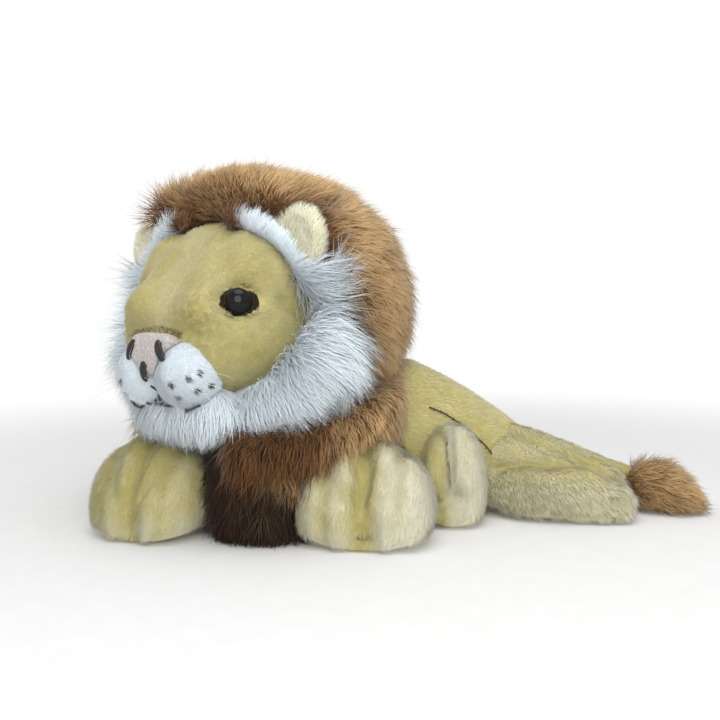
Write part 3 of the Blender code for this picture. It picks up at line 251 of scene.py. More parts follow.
def mesh_object(name, points, faces, material, body, slot, attributes=None, normals=None):
    """A mesh from arrays: points, faces that all have the same number of corners, values of its
    points by name, and the normals that it is shaded with. It rides on a body."""
    points = np.ascontiguousarray(points, np.float32)
    faces = np.ascontiguousarray(faces, np.int32)
    mesh = bpy.data.meshes.new(name)
    mesh.vertices.add(len(points))
    mesh.vertices.foreach_set("co", points.ravel())
    mesh.loops.add(faces.size)
    mesh.loops.foreach_set("vertex_index", faces.ravel())
    mesh.polygons.add(len(faces))
    starts = np.arange(0, faces.size, faces.shape[1], dtype=np.int32)
    mesh.polygons.foreach_set("loop_start", starts)
    mesh.update(calc_edges=True)
    for key, values in (attributes or {}).items():
        layer = mesh.attributes.new(key, "FLOAT", "POINT")
        layer.data.foreach_set("value", np.ascontiguousarray(values, np.float32).ravel())
    mesh.polygons.foreach_set("use_smooth", np.ones(len(faces), bool))
    if normals is not None:
        mesh.normals_split_custom_set_from_vertices(normals.tolist())
    mesh.materials.append(material)
    made = bpy.data.objects.new(name, mesh)
    bpy.context.scene.collection.objects.link(made)
    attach(made, body)
    return made


def cad_arrays(*names):
    """Points and triangles of CAD nodes. Corners that fall in one small cell become one point,
    at their mean."""
    all_points, all_faces, count = [], [], 0
    for name in names:
        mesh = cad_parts[name].data
        points = np.empty(len(mesh.vertices) * 3, np.float32)
        mesh.vertices.foreach_get("co", points)
        corners = np.empty(len(mesh.loops), np.int32)
        mesh.loops.foreach_get("vertex_index", corners)
        all_points.append(points.reshape(-1, 3))
        all_faces.append(corners.reshape(-1, 3) + count)
        count += len(mesh.vertices)
    points, faces = np.concatenate(all_points).astype(float), np.concatenate(all_faces)
    cells = np.round(points / CELL).astype(np.int64)
    _, back = np.unique(cells, axis=0, return_inverse=True)
    back = back.ravel()
    total = np.bincount(back)
    merged = np.stack([np.bincount(back, points[:, k]) / total for k in range(3)], 1)
    a, b, c = back[faces].T
    return merged, back[faces][(a != b) & (b != c) & (c != a)]


def relaxed(points, faces, steps, pull=0.5):
    """Evened out: each step moves a point towards the mean of its neighbours and then almost as
    far back, which takes out edges and keeps the size."""
    edges = np.concatenate([faces[:, [0, 1]], faces[:, [1, 2]], faces[:, [2, 0]]])
    size = len(points)
    count = np.bincount(edges[:, 0], minlength=size) + np.bincount(edges[:, 1], minlength=size)
    count = np.maximum(count, 1)[:, None]
    for step in range(steps * 2):
        total = np.zeros_like(points)
        for k in range(3):
            total[:, k] = np.bincount(edges[:, 0], points[edges[:, 1], k], size)
            total[:, k] += np.bincount(edges[:, 1], points[edges[:, 0], k], size)
        share = pull if step % 2 == 0 else -pull * BACK_SHARE
        points = points + (total / count - points) * share
    return points


def point_normals(points, faces):
    """Each point's normal: the sum of the cross products of its faces' sides, made unit length."""
    a, b, c = (points[faces[:, k]] for k in range(3))
    flat = np.cross(b - a, c - a)
    total = np.zeros_like(points)
    for k in range(3):
        for axis in range(3):
            total[:, axis] += np.bincount(faces[:, k], flat[:, axis], len(points))
    return unit(total)


def unit(vectors):
    return vectors / np.maximum(np.linalg.norm(vectors, axis=-1, keepdims=True), 1e-12)


def split_triangles(points, faces):
    """Four triangles for each: the middles of the sides become points, shared by neighbours."""
    sides = np.concatenate([faces[:, [0, 1]], faces[:, [1, 2]], faces[:, [2, 0]]])
    low, high = sides.min(1), sides.max(1)
    keys, back = np.unique(low.astype(np.int64) * len(points) + high, return_inverse=True)
    back = back.ravel() + len(points)
    ends = np.stack([keys // len(points), keys % len(points)], 1)
    points = np.concatenate([points, points[ends].mean(1)])
    ab, bc, ca = np.split(back, 3)
    a, b, c = faces.T
    fours = ((a, ab, ca), (ab, b, bc), (ca, bc, c), (ab, bc, ca))
    return points, np.concatenate([np.stack(three, 1) for three in fours])


def softened(name, rounds, steps, push):
    """A CAD node's form with its facets and edges rounded, moved out by push."""
    points, faces = cad_arrays(name)
    points = relaxed(points, faces, 2)
    for _ in range(rounds):
        points, faces = split_triangles(points, faces)
        points = relaxed(points, faces, steps)
    points = points + point_normals(points, faces) * push
    points[:, 2] = np.maximum(points[:, 2], FLOOR_LIFT * 0.5)
    return points, faces


def circle(side, rise, around):
    """Directions round an axis: side times the cosine and rise times the sine of the turn."""
    turn = np.arange(around)[:, None] * math.tau / around
    return side[..., None, :] * np.cos(turn) + rise[..., None, :] * np.sin(turn)


def closed_rings(points, count, around, first, last):
    """Points and triangles of a skin over rings of points, closed by a point at both ends."""
    i, j = np.meshgrid(np.arange(count - 1), np.arange(around), indexing="ij")
    a = i * around + j
    b = i * around + (j + 1) % around
    j = np.arange(around)
    after = (j + 1) % around
    low, high, top = len(points), len(points) + 1, (count - 1) * around
    faces = np.concatenate([
        np.stack([a, b, b + around], -1).reshape(-1, 3),
        np.stack([a, b + around, a + around], -1).reshape(-1, 3),
        np.stack([np.full(around, low), after, j], 1),
        np.stack([np.full(around, high), j + top, after + top], 1),
    ])
    return np.concatenate([points, np.stack([first, last])]), faces


def tube(path, radius, around=8):
    """A round cord along a path: at each point a circle of the given radius across the path."""
    path = np.asarray(path, float)
    radius = np.broadcast_to(np.asarray(radius, float), (len(path),))
    run = unit(np.gradient(path, axis=0))
    side = unit(np.cross(run, np.where(np.abs(run[:, 2:]) < 0.9, UP, FACE)))
    ring = circle(side, np.cross(run, side), around)
    points = (path[:, None] + ring * radius[:, None, None]).reshape(-1, 3)
    return closed_rings(points, len(path), around, path[0] - run[0] * radius[0] * 0.5,
                        path[-1] + run[-1] * radius[-1] * 0.5)


def turned(profile, place, aim, around=48):
    """A turned solid: a profile of radius and height, carried round the aim. The first and the
    last point of the profile are on the axis and close it."""
    profile = np.asarray(profile, float)
    side = unit(np.cross(aim, UP))
    ring = circle(side, np.cross(aim, side), around)
    inner = profile[1:-1]
    points = place + ring[None] * inner[:, :1, None] + (aim * inner[:, 1:])[:, None]
    return closed_rings(points.reshape(-1, 3), len(inner), around, place + aim * profile[0, 1],
                        place + aim * profile[-1, 1])


def joined(parts):
    """Several meshes as one: points and faces one after the other."""
    points, faces, count = [], [], 0
    for p, f in parts:
        points.append(p)
        faces.append(f + count)
        count += len(p)
    return np.concatenate(points), np.concatenate(faces)


def tree_of(points, faces):
    return BVHTree.FromPolygons(points.tolist(), faces.tolist())


def photo_rays(pixels):
    """Directions from the camera through pixels of the photograph's frame."""
    above = np.cross(CAMERA_RIGHT, CAMERA_AHEAD)
    pixels = np.asarray(pixels, float) - FRAME_PIXELS / 2
    scale = SENSOR_MM / LENS_MM / FRAME_PIXELS
    return unit(CAMERA_AHEAD + CAMERA_RIGHT * pixels[:, :1] * scale - above * pixels[:, 1:] * scale)


def dropped(pixels, nodes, count=None):
    """Pixels, or count points spaced evenly on the line through them, laid on CAD nodes as the
    camera sees them: places and normals."""
    tree = tree_of(*cad_arrays(*nodes))
    spots = []
    for way in photo_rays(even_line(pixels, count) if count else pixels):
        spot, normal, _, _ = tree.ray_cast(Vector(CAMERA), Vector(way))
        if spot is not None:
            spots.append((*spot, *normal))
    found = np.array(spots).reshape(-1, 6)
    return found[:, :3], found[:, 3:]


def even_line(corners, count):
    """Points at even distances along a line of corners."""
    corners = np.asarray(corners, float)
    step = np.linalg.norm(np.diff(corners, axis=0), axis=1)
    total = np.concatenate([[0.0], np.cumsum(step)])
    places = np.linspace(0.0, total[-1], count)
    return np.stack([np.interp(places, total, corners[:, k]) for k in range(2)], 1)


def mirrored(points):
    """Across the middle plane of the head."""
    return points - 2 * ((points - HEAD) @ LEFT)[:, None] * LEFT


def ramp(values, low, high):
    """0 below low, 1 above high, and a smooth s-shaped rise between."""
    share = np.clip((values - low) / (high - low), 0, 1)
    return share * share * (3 - 2 * share)


def bell(gap, width):
    """1 at no distance, falling as the exponential of minus the square of gap over width."""
    return np.exp(-(gap / width) ** 2)


def near(points, line):
    """Distance from each point to the nearest of the points of a line."""
    best = np.full(len(points), np.inf)
    for spot in line:
        best = np.minimum(best, ((points - spot) ** 2).sum(1))
    return np.sqrt(best)


def waves(points, size, seed):
    """Soft patches from -1 to 1: the mean of eight sine waves in random directions, each about
    size long."""
    rng = np.random.default_rng(seed)
    ways = unit(rng.normal(size=(8, 3))) * rng.uniform(0.6, 1.6, (8, 1)) * math.tau / size
    return np.sin(points @ ways.T + rng.uniform(0, math.tau, 8)).mean(1) * 1.8


# Pile -----------------------------------------------------------------------------------------


def sown(points, faces, density, rng):
    """Roots spread evenly over the area of triangles: places and normals."""
    a, b, c = (points[faces[:, k]] for k in range(3))
    area = np.linalg.norm(np.cross(b - a, c - a), axis=1) / 2
    count = int(area.sum() * CM2_IN_M2 * density)
    total = np.cumsum(area)
    spots = (np.arange(count) + rng.random(count)) / count * total[-1]
    corner = faces[np.minimum(np.searchsorted(total, spots), len(faces) - 1)]
    u, v = rng.random((2, count))
    over = u + v > 1
    u[over], v[over] = 1 - u[over], 1 - v[over]
    mix = np.stack([1 - u - v, u, v], 1)[:, :, None]
    normals = point_normals(points, faces)
    return (points[corner] * mix).sum(1), unit((normals[corner] * mix).sum(1))


def open_roots(roots, normals, node, reach):
    """Which roots can be seen: a line along the normal meets no other node within reach, and one
    of six lines to the side gets out between the nodes. No hair grows in a seam, inside the toy
    or on the side that rests on the floor."""
    others = [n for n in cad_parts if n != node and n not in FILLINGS]
    tree = tree_of(*cad_arrays(*others))
    first = unit(np.cross(normals, (0.36, 0.48, 0.80)))
    rings = normals[:, None] + circle(first, np.cross(normals, first), SIDE_LINES)
    seen = (normals[:, 2] >= RESTING_TILT) | (roots[:, 2] >= RESTING_HEIGHT)
    for k in np.flatnonzero(seen):
        spot = Vector(roots[k])
        free = tree.ray_cast(spot, Vector(normals[k]), reach)[0] is None
        seen[k] = free and any(
            tree.ray_cast(spot, Vector(way), OUTSIDE)[0] is None for way in (normals[k], *rings[k]))
    return seen


def locks_of(roots, size, rng):
    """Number of the lock that each root belongs to: cells of a grid that soft waves bend."""
    bent = roots + np.stack([waves(roots, size * 5, s) for s in (3, 5, 7)], 1) * size * 0.9
    cells = np.floor(bent / size + rng.random(3)).astype(np.int64)
    _, back = np.unique(cells, axis=0, return_inverse=True)
    return back.ravel()


def hair_paths(roots, normals, combed, length, shares, style, rng):
    """Points along each hair. A hair starts in the direction between its normal and the combing
    that the lift angle gives, and ends in the one that the lie angle gives: its place at share s
    is length * (s * start + s * s / 2 * (end - start)). Hairs of a lock are drawn together
    towards the mean of their tips, and wave sideways as a sine of s."""
    count = len(roots)
    turn = rng.normal(0, math.radians(style["stray"]), count)[:, None]
    along = unit(combed - normals * (combed * normals).sum(1)[:, None])
    along = along * np.cos(turn) + np.cross(normals, along) * np.sin(turn)
    lift = np.radians(style["lift"] + rng.normal(0, style["ruffle"], count))[:, None]
    lie = np.radians(style["lie"] + rng.normal(0, style["ruffle"], count))[:, None]
    start = normals * np.sin(lift) + along * np.cos(lift)
    end = unit(normals * np.sin(lie) + along * np.cos(lie) + DOWN * style["sag"])
    lock = locks_of(roots, style["lock"], rng)
    locks = lock.max() + 1
    tone = rng.random(locks)[lock]
    length = (length * rng.uniform(1 - style["uneven"], 1.0, count)
              * (1 + (rng.random(locks)[lock] - 0.5) * style["tiers"]))[:, None, None]
    s = np.asarray(shares)[None, :, None]
    path = roots[:, None] + length * (s * start[:, None] + s * s / 2 * (end - start)[:, None])
    tip = path[:, -1]
    size = np.bincount(lock)
    middle = np.stack([np.bincount(lock, tip[:, k]) / size for k in range(3)], 1)[lock]
    draw = style["draw"] * rng.uniform(0.6, 1.0, (count, 1))
    path = path + (middle - tip)[:, None] * draw[:, None] * s ** DRAW_POWER
    phase = (rng.random(locks)[lock] * math.tau)[:, None, None]
    sideways = unit(np.cross(start, normals))[:, None]
    swing = np.sin(s * math.tau * style["waves"] + phase) * s * (style["swing"] * length)
    return path + sideways * swing, start, end, sideways, tone


def hairs(name, body, slot, material, roots, normals, combed, length, width, zone, style, seed):
    """One mesh of all hairs of a piece. Each is a closed spike with a three-sided section that
    thins towards the tip."""
    rng = np.random.default_rng(seed)
    shares = style["shares"]
    path, start, end, side, tone = hair_paths(
        roots, normals, combed, length, (*shares, 1.0), style, rng)
    count, rings = len(roots), len(shares)
    s = np.array(shares)[None, :, None]
    run = unit(start[:, None] * (1 - s) + end[:, None] * s)
    side = side + np.zeros_like(run)
    thick = (width / 2 * (1 - THINNER * s)) * rng.uniform(*THICKNESS, (count, 1, 1))
    ring = circle(side, np.cross(run, side), STRAND_SIDES)
    points = path[:, :rings, None] + ring * thick[:, :, None]
    points = np.concatenate([points.reshape(count, -1, 3), path[:, rings:]], 1)
    each = points.shape[1]
    points = points.reshape(-1, 3)
    soft = style["soft"]
    shaded = normals[:, None, None] * soft + ring * (1 - soft)
    shaded = np.concatenate([shaded.reshape(count, -1, 3), normals[:, None]], 1)
    low = points[:, 2] < FLOOR_LIFT
    points[low, 2] = FLOOR_LIFT + (np.arange(len(points))[low] % FLOOR_STEPS) * FLOOR_STEP
    template, spots = spike_template(rings)
    faces = (np.arange(count)[:, None, None] * each + template).reshape(-1, 3)
    layers = {
        "along": np.tile(np.concatenate([np.repeat(shares, STRAND_SIDES), [1.0]]), count),
        "strand": np.repeat(rng.random(count), each),
        "lock": np.repeat(tone, each),
        "zone": np.repeat(zone, each),
    }
    made = mesh_object(name, points, faces, material, body, slot, layers,
                       unit(shaded.reshape(-1, 3)))
    cell_map(made.data, spots, count)
    return made


def spike_template(rings):
    """Triangles of one hair: its base, its sides and its point, and where each corner lies in
    the hair's own cell of the colour map."""
    n = STRAND_SIDES
    faces, spots = [(0, 2, 1)], [((0.1, 0.02), (0.5, 0.06), (0.9, 0.02))]
    for i in range(rings):
        low, high = 0.08 + 0.84 * i / rings, 0.08 + 0.84 * (i + 1) / rings
        for j in range(n):
            a, b = i * n + j, i * n + (j + 1) % n
            x0, x1 = 0.06 + 0.88 * j / n, 0.06 + 0.88 * (j + 1) / n
            if i < rings - 1:
                faces += [(a, b, b + n), (a, b + n, a + n)]
                spots += [((x0, low), (x1, low), (x1, high)), ((x0, low), (x1, high), (x0, high))]
            else:
                faces.append((a, b, rings * n))
                spots.append(((x0, low), (x1, low), ((x0 + x1) / 2, 0.94)))
    return np.array(faces), np.array(spots)


def cell_map(mesh, spots, count):
    """A UV map in which each hair has a square cell of its own."""
    across = math.ceil(math.sqrt(count))
    cell = np.stack([np.arange(count) % across, np.arange(count) // across], 1)
    uv = (cell[:, None, None] + spots[None]) / across
    layer = mesh.uv_layers.new(name="OFBake")
    layer.data.foreach_set("uv", uv.astype(np.float32).ravel())


def grow(node, kind, combing, density, length, width, style, seed, name=None, zone=None,
         trim=None, reach=0.009, part=None):
    """Sow roots on a node's cloth, keep those in free air and grow a hair on each. A part
    function says which roots belong to this piece, where a cloth has more than one."""
    given = BACKINGS.get(node) or FILLINGS.get(node) or (None, "head")
    body, slot = given[1], given[2] if node in BACKINGS else "tan_plush"
    rng = np.random.default_rng(seed)
    points, _, faces = soft_of(node)
    roots, normals = sown(points, faces, density, rng)
    keep = roots[:, 2] > LOWEST_ROOT
    if part:
        keep &= part(roots)
    roots, normals = roots[keep], normals[keep]
    keep = open_roots(roots, normals, node, reach)
    roots, normals = roots[keep], normals[keep]
    if not len(roots):
        raise RuntimeError(f"no hair could be grown on {node}")
    tint = zone(roots, normals) if zone else np.zeros(len(roots))
    length = np.full(len(roots), length) * (trim(roots) if trim else 1.0)
    long = length > SHORTEST
    roots, normals = roots[long], normals[long]
    return hairs(name or node.replace("_skin", "") + "_pile", body, slot, hair_material(kind),
                 roots, normals, combing(roots, normals), length[long], width, tint[long], style,
                 seed + 1)


# Materials ------------------------------------------------------------------------------------


def new_group(name, inputs, outputs):
    """A shader node group with named sockets: inputs with their values, and outputs. Returns it
    with the sockets that it is given and those that it gives."""
    group = bpy.data.node_groups.new(name, "ShaderNodeTree")
    for label, value in inputs.items():
        kind = "NodeSocketColor" if hasattr(value, "__len__") else "NodeSocketFloat"
        group.interface.new_socket(label, in_out="INPUT", socket_type=kind).default_value = value
    for label in outputs:
        kind = "NodeSocketColor" if label == "Colour" else "NodeSocketFloat"
        group.interface.new_socket(label, in_out="OUTPUT", socket_type=kind)
    nodes = group.nodes
    return group, nodes.new("NodeGroupInput").outputs, nodes.new("NodeGroupOutput").inputs


def fed(tree, sockets, values):
    """Sockets take values, or links from other sockets."""
    for socket, value in zip(sockets, values):
        if isinstance(value, bpy.types.NodeSocket):
            tree.links.new(value, socket)
        else:
            socket.default_value = value


def mix_colour(tree, factor, first, second, blend="MIX"):
    node = tree.nodes.new("ShaderNodeMix")
    node.data_type = "RGBA"
    node.blend_type = blend
    fed(tree, (node.inputs[0], node.inputs[6], node.inputs[7]), (factor, first, second))
    return node.outputs[2]


def maths(tree, operation, *values):
    node = tree.nodes.new("ShaderNodeMath")
    node.operation = operation
    fed(tree, node.inputs, values)
    return node.outputs[0]


def spread(tree, value, low, high, out_low=0.0, out_high=1.0):
    """A value's range moved to another, smoothly and within limits."""
    node = tree.nodes.new("ShaderNodeMapRange")
    node.interpolation_type = "SMOOTHSTEP"
    fed(tree, node.inputs, (value, low, high, out_low, out_high))
    return node.outputs[0]


def noise(tree, coords, scale, detail):
    node = tree.nodes.new("ShaderNodeTexNoise")
    node.inputs["Scale"].default_value = scale
    node.inputs["Detail"].default_value = detail
    node.inputs["Roughness"].default_value = 0.55
    tree.links.new(coords, node.inputs["Vector"])
    return node.outputs[0]


def attribute(tree, name):
    node = tree.nodes.new("ShaderNodeAttribute")
    node.attribute_name = name
    return node.outputs["Fac"]


def object_coords(tree):
    return tree.nodes.new("ShaderNodeTexCoord").outputs["Object"]


def hair_tones():
    """Colour of a hair: from its deep colour at the root, painted shade deep in the pile, to its
    tip colour, another pair of colours where the zone is 1, and small changes from lock to lock and
    hair to hair."""
    brown, straw = (0.3, 0.2, 0.1, 1), (0.6, 0.5, 0.3, 1)
    group, given, out = new_group("hair_tones", {
        "Root": brown, "Tip": straw, "Zone Root": brown, "Zone Tip": straw, "Root Reach": 0.55,
        "Variation": 0.3, "Patches": 0.2}, ("Colour", "Roughness"))
    rise = spread(group, attribute(group, "along"), 0.0, given["Root Reach"])
    plain = mix_colour(group, rise, given["Root"], given["Tip"])
    zoned = mix_colour(group, rise, given["Zone Root"], given["Zone Tip"])
    colour = mix_colour(group, attribute(group, "zone"), plain, zoned)
    lock = maths(group, "SUBTRACT", attribute(group, "lock"), 0.5)
    strand = maths(group, "SUBTRACT", attribute(group, "strand"), 0.5)
    both = maths(group, "MULTIPLY_ADD", lock, 0.7, maths(group, "MULTIPLY", strand, 0.6))
    patch = maths(group, "SUBTRACT", noise(group, object_coords(group), 38.0, 3.0), 0.5)
    patch = maths(group, "MULTIPLY", patch, given["Patches"])
    value = maths(group, "MULTIPLY_ADD", both, given["Variation"], 1.0)
    shade = group.nodes.new("ShaderNodeHueSaturation")
    fed(group, [shade.inputs[label] for label in ("Color", "Value", "Saturation")], (
        colour, maths(group, "ADD", value, patch),
        maths(group, "MULTIPLY_ADD", strand, 0.14, 1.0)))
    fed(group, out, (shade.outputs[0], maths(group, "MULTIPLY_ADD", strand, 0.2, 0.78)))
    return group


def cloth_weave():
    """Backing cloth under the pile: knitted rows as a height, and a colour that follows them,
    deeper in the low rows as painted shade.
    """
    group, given, out = new_group("cloth_weave", {
        "Colour": (0.5, 0.4, 0.2, 1), "Deep": (0.3, 0.2, 0.1, 1), "Pale": (0.8, 0.8, 0.6, 1),
        "Scale": 900.0}, ("Colour", "Height", "Roughness"))
    coords = object_coords(group)
    knit = group.nodes.new("ShaderNodeTexVoronoi")
    knit.feature = "F1"
    fed(group, (knit.inputs["Vector"], knit.inputs["Scale"]), (coords, given["Scale"]))
    fuzz = noise(group, coords, 420.0, 4.0)
    height = maths(group, "MULTIPLY_ADD", knit.outputs["Distance"], -0.6, fuzz)
    # Painted shade: the colour goes deep in the low parts of the knit
    mixed = mix_colour(group, spread(group, height, 0.1, 0.6), given["Deep"], given["Colour"])
    mixed = mix_colour(group, attribute(group, "zone"), mixed, given["Pale"])
    fed(group, out, (mixed, height, maths(group, "MULTIPLY_ADD", fuzz, 0.12, 0.84)))
    return group


def thread_twist():
    """Twisted plies of a thread: a height from fine noise stretched by its scale, and a colour
    darkened in the low parts as painted shade.
    """
    group, given, out = new_group("thread_twist", {
        "Colour": (0.02, 0.02, 0.02, 1), "Scale": 1600.0}, ("Colour", "Height", "Roughness"))
    coords = object_coords(group)
    plies = group.nodes.new("ShaderNodeTexWave")
    plies.bands_direction = "DIAGONAL"
    fed(group, [plies.inputs[label] for label in ("Vector", "Scale", "Distortion")],
        (coords, given["Scale"], 2.0))
    fuzz = noise(group, coords, 2600.0, 2.0)
    height = maths(group, "MULTIPLY_ADD", fuzz, 0.5, plies.outputs["Fac"])
    # Painted shade: the thread's colour, darker, for the low parts between plies
    dark = mix_colour(group, 1.0, given["Colour"], (0.45, 0.45, 0.45, 1), "MULTIPLY")
    mixed = mix_colour(group, spread(group, height, 0.2, 1.2), dark, given["Colour"])
    fed(group, out, (mixed, height, maths(group, "MULTIPLY_ADD", fuzz, 0.2, 0.45)))
    return group


def new_material(name):
    made = bpy.data.materials.new(name)
    made.use_nodes = True
    return made, made.node_tree, made.node_tree.nodes["Principled BSDF"]


def grouped_material(name, build, values, bump=None, sheen=0.3, specular=0.2, sheen_rough=0.5):
    """A material made once, with the colour and roughness of a node group. The function that
    builds the group has its name, and bump is the strength and depth of its height."""
    found = bpy.data.materials.get(name)
    if found:
        return found
    made, tree, shader = new_material(name)
    node = tree.nodes.new("ShaderNodeGroup")
    node.node_tree = bpy.data.node_groups.get(build.__name__) or build()
    for label, value in values.items():
        node.inputs[label].default_value = (*value, 1.0) if hasattr(value, "__len__") else value
    tree.links.new(node.outputs["Colour"], shader.inputs["Base Color"])
    tree.links.new(node.outputs["Roughness"], shader.inputs["Roughness"])
    if bump:
        relief = tree.nodes.new("ShaderNodeBump")
        fed(tree, [relief.inputs[label] for label in ("Strength", "Distance", "Height")],
            (*bump, node.outputs["Height"]))
        tree.links.new(relief.outputs[0], shader.inputs["Normal"])
    shader.inputs["Sheen Weight"].default_value = sheen
    shader.inputs["Sheen Roughness"].default_value = sheen_rough
    shader.inputs["Specular IOR Level"].default_value = specular
    return made


def clouded_material(name, scale, detail, first, second, limits=None):
    """A new material whose colour lies between two, after a soft noise, with its tree, its shader
    and the noise."""
    made, tree, shader = new_material(name)
    cloud = noise(tree, object_coords(tree), scale, detail)
    factor = spread(tree, cloud, *limits) if limits else cloud
    tree.links.new(mix_colour(tree, factor, (*first, 1), (*second, 1)), shader.inputs["Base Color"])
    return made, tree, shader, cloud


def scaled(colour, by):
    return tuple(min(c * by, 1.0) for c in colour)


def cloth_material(slot):
    """Backing cloth in the colour of the pile that covers it, most of it a little darker as painted
    shade deep in the pile.
    """
    scene = bpy.context.scene
    short, long, white = scene.lion_short, scene.lion_long, scene.lion_white
    tones = {
        "tan_plush": (scaled(short.colour, 0.8), short.deep),
        "cream_plush": (scaled(short.pale, 0.85), scaled(short.pale, 0.5)),
        "white_plush": (scaled(white.colour, 0.85), white.deep),
        "mane_pile": (scaled(long.deep, 1.3), scaled(long.deep, 0.6)),
        "dark_pile": (long.dark, scaled(long.dark, 0.6)),
        "stuffing": ((0.86, 0.86, 0.83), (0.62, 0.62, 0.60)),
        "pellet_cloth": ((0.70, 0.70, 0.67), (0.50, 0.50, 0.48)),
        "nose_velour": (scene.lion_face.nose, scaled(scene.lion_face.nose, 0.6)),
        "black_felt": ((0.022, 0.017, 0.014), (0.008, 0.006, 0.005)),
    }
    pales = {"stuffing": scaled(short.colour, 0.85), "white_plush": scaled(long.deep, 0.9)}
    rough = {"stuffing": 300.0, "black_felt": 1400.0}
    return grouped_material(slot + "_cloth", cloth_weave, {
        "Colour": tones[slot][0], "Deep": tones[slot][1],
        "Pale": pales.get(slot, scaled(short.pale, 0.88)), "Scale": rough.get(slot, 900.0),
    }, (0.6, 0.0004))


def hair_material(kind):
    """A kind of hair: its colours at root and tip, those where its zone is 1, how far the root
    colour reaches, how much hairs and patches vary, and its sheen."""
    scene = bpy.context.scene
    short, long, white = scene.lion_short, scene.lion_long, scene.lion_white
    kinds = {
        "tan": (short.deep, short.colour, scaled(short.pale, 0.80), short.pale,
                0.62, 0.20, 0.20, 0.25),
        # The left hind foot is brown at the roots and pale at the tips
        "nap": (short.deep, short.colour, scaled(short.deep, 0.62), short.pale,
                0.85, 0.30, 0.25, 0.25),
        "face": (scaled(short.deep, 0.82), scaled(short.colour, 0.80), scaled(short.pale, 0.70),
                 scaled(short.pale, 0.90), 0.62, 0.18, 0.20, 0.25),
        # Dark brown hair over the nose and the eyes: painted shade of the shadow lines above the
        # nose and under the brows, partly the face's own brown
        "edge": (scaled(short.deep, 0.18), scaled(short.deep, 0.50), short.deep, short.deep,
                 0.8, 0.5, 0.2, 0.1),
        # The ears' zone colours are a brighter cream than the paws': painted light on ears that
        # face away from the lamps
        "ear": (short.deep, short.colour, scaled(short.pale, 0.94), scaled(short.pale, 1.09),
                0.5, 0.14, 0.15, 0.25),
        # The mane's zone colours are darker browns for painted shade under the crest, towards the
        # face and under the chin
        "mane": (long.deep, long.colour, scaled(long.dark, 0.6), scaled(long.deep, 1.15),
                 0.85, 0.42, 0.45, 0.25),
        "dark": (scaled(long.dark, 0.45), scaled(long.dark, 1.1), long.deep,
                 scaled(long.colour, 0.75), 0.8, 0.6, 0.4, 0.06),
        # White, and mane colours where the ruff ends at the crown
        "ruff": (white.deep, white.colour, scaled(long.dark, 0.8), scaled(long.deep, 1.1),
                 0.7, 0.14, 0.12, 0.25),
        "white": (white.deep, white.colour, (0.05, 0.055, 0.06), (0.07, 0.075, 0.08),
                  0.5, 0.14, 0.1, 0.25),
    }
    labels = ("Root", "Tip", "Zone Root", "Zone Tip", "Root Reach", "Variation", "Patches")
    return grouped_material(kind + "_hair", hair_tones, dict(zip(labels, kinds[kind])),
                            sheen=kinds[kind][-1], specular=0.25, sheen_rough=0.45)


def thread_material(name, colour):
    return grouped_material(name, thread_twist, {"Colour": colour}, (0.5, 0.0002), 0.2, 0.4)


def eye_material():
    """Black plastic with a brown depth in soft clouds and fine handling marks in its gloss."""
    found = bpy.data.materials.get("eye_gloss")
    if found:
        return found
    made, tree, shader, _ = clouded_material(
        "eye_gloss", 160.0, 2.0, (0.003, 0.003, 0.004), (0.010, 0.006, 0.005), (0.35, 0.75))
    marks = noise(tree, object_coords(tree), 900.0, 5.0)
    tree.links.new(spread(tree, marks, 0.35, 0.8, 0.04, 0.14), shader.inputs["Roughness"])
    shader.inputs["Specular IOR Level"].default_value = 0.22
    return made


def washer_material():
    """Milky plastic with moulding marks."""
    found = bpy.data.materials.get("washer_plastic_moulded")
    if found:
        return found
    made, tree, shader, cloud = clouded_material(
        "washer_plastic_moulded", 300.0, 3.0, (0.70, 0.70, 0.66), (0.84, 0.84, 0.80))
    tree.links.new(spread(tree, cloud, 0.3, 0.7, 0.32, 0.5), shader.inputs["Roughness"])
    return made


# Combing: the way that hair lies, from the places and normals of its roots ----------------------


def limb_way(yaw):
    return np.array((math.cos(math.radians(yaw)), math.sin(math.radians(yaw)), 0.0))


def head_frame(points):
    """How far points lie ahead along the face, to its left and above the middle of the head."""
    away = points - HEAD
    return away @ FACE, away @ LEFT, away[:, 2]


def off_axis(points):
    """Direction away from the axis through the head along the face."""
    away = points - HEAD
    return unit(away - FACE * (away @ FACE)[:, None])


def head_combing(points, normals):
    """Back from the nose over the face, and outwards."""
    nose = HEAD + FACE * 0.085 + DOWN * 0.02
    return unit(points - nose) * 0.9 + DOWN * 0.28 - FACE * 0.15


def muzzle_combing(points, normals):
    """Outwards from the middle line of the muzzle and down."""
    side = head_frame(points)[1][:, None]
    return LEFT * np.sign(side) * 0.7 + DOWN * 0.55 - FACE * 0.45


def mane_combing(points, normals):
    """Away from the face axis, back, and down by its own weight; at the crown up and out."""
    ahead, _, level = head_frame(points)
    high = ramp(level, 0.045, 0.085)[:, None]
    back = ramp(-ahead, 0.035, 0.070)[:, None]
    free = off_axis(points) * (0.55 + 0.4 * high) - FACE * 0.65 + DOWN * (0.50 - 0.45 * high)
    return free * (1 - back) + (DOWN + off_axis(points) * 0.10) * back


def ruff_combing(points, normals):
    """Outwards from the face, over the mane, falling at the cheeks and rising at the brow."""
    level = head_frame(points)[2]
    high = ramp(level, 0.02, 0.06)[:, None]
    low = 1 - ramp(level, -0.05, 0.0)[:, None]
    return (off_axis(points) * (1 - 0.55 * high) - FACE * (0.24 + 0.55 * high)
            + DOWN * (0.12 + 0.26 * low - 0.7 * high))


def chin_combing(points, normals):
    return DOWN * 0.9 + FACE * 0.25 + off_axis(points) * 0.35


def chest_combing(points, normals):
    return DOWN * 1.0 + normals * 0.2 + FACE * 0.05


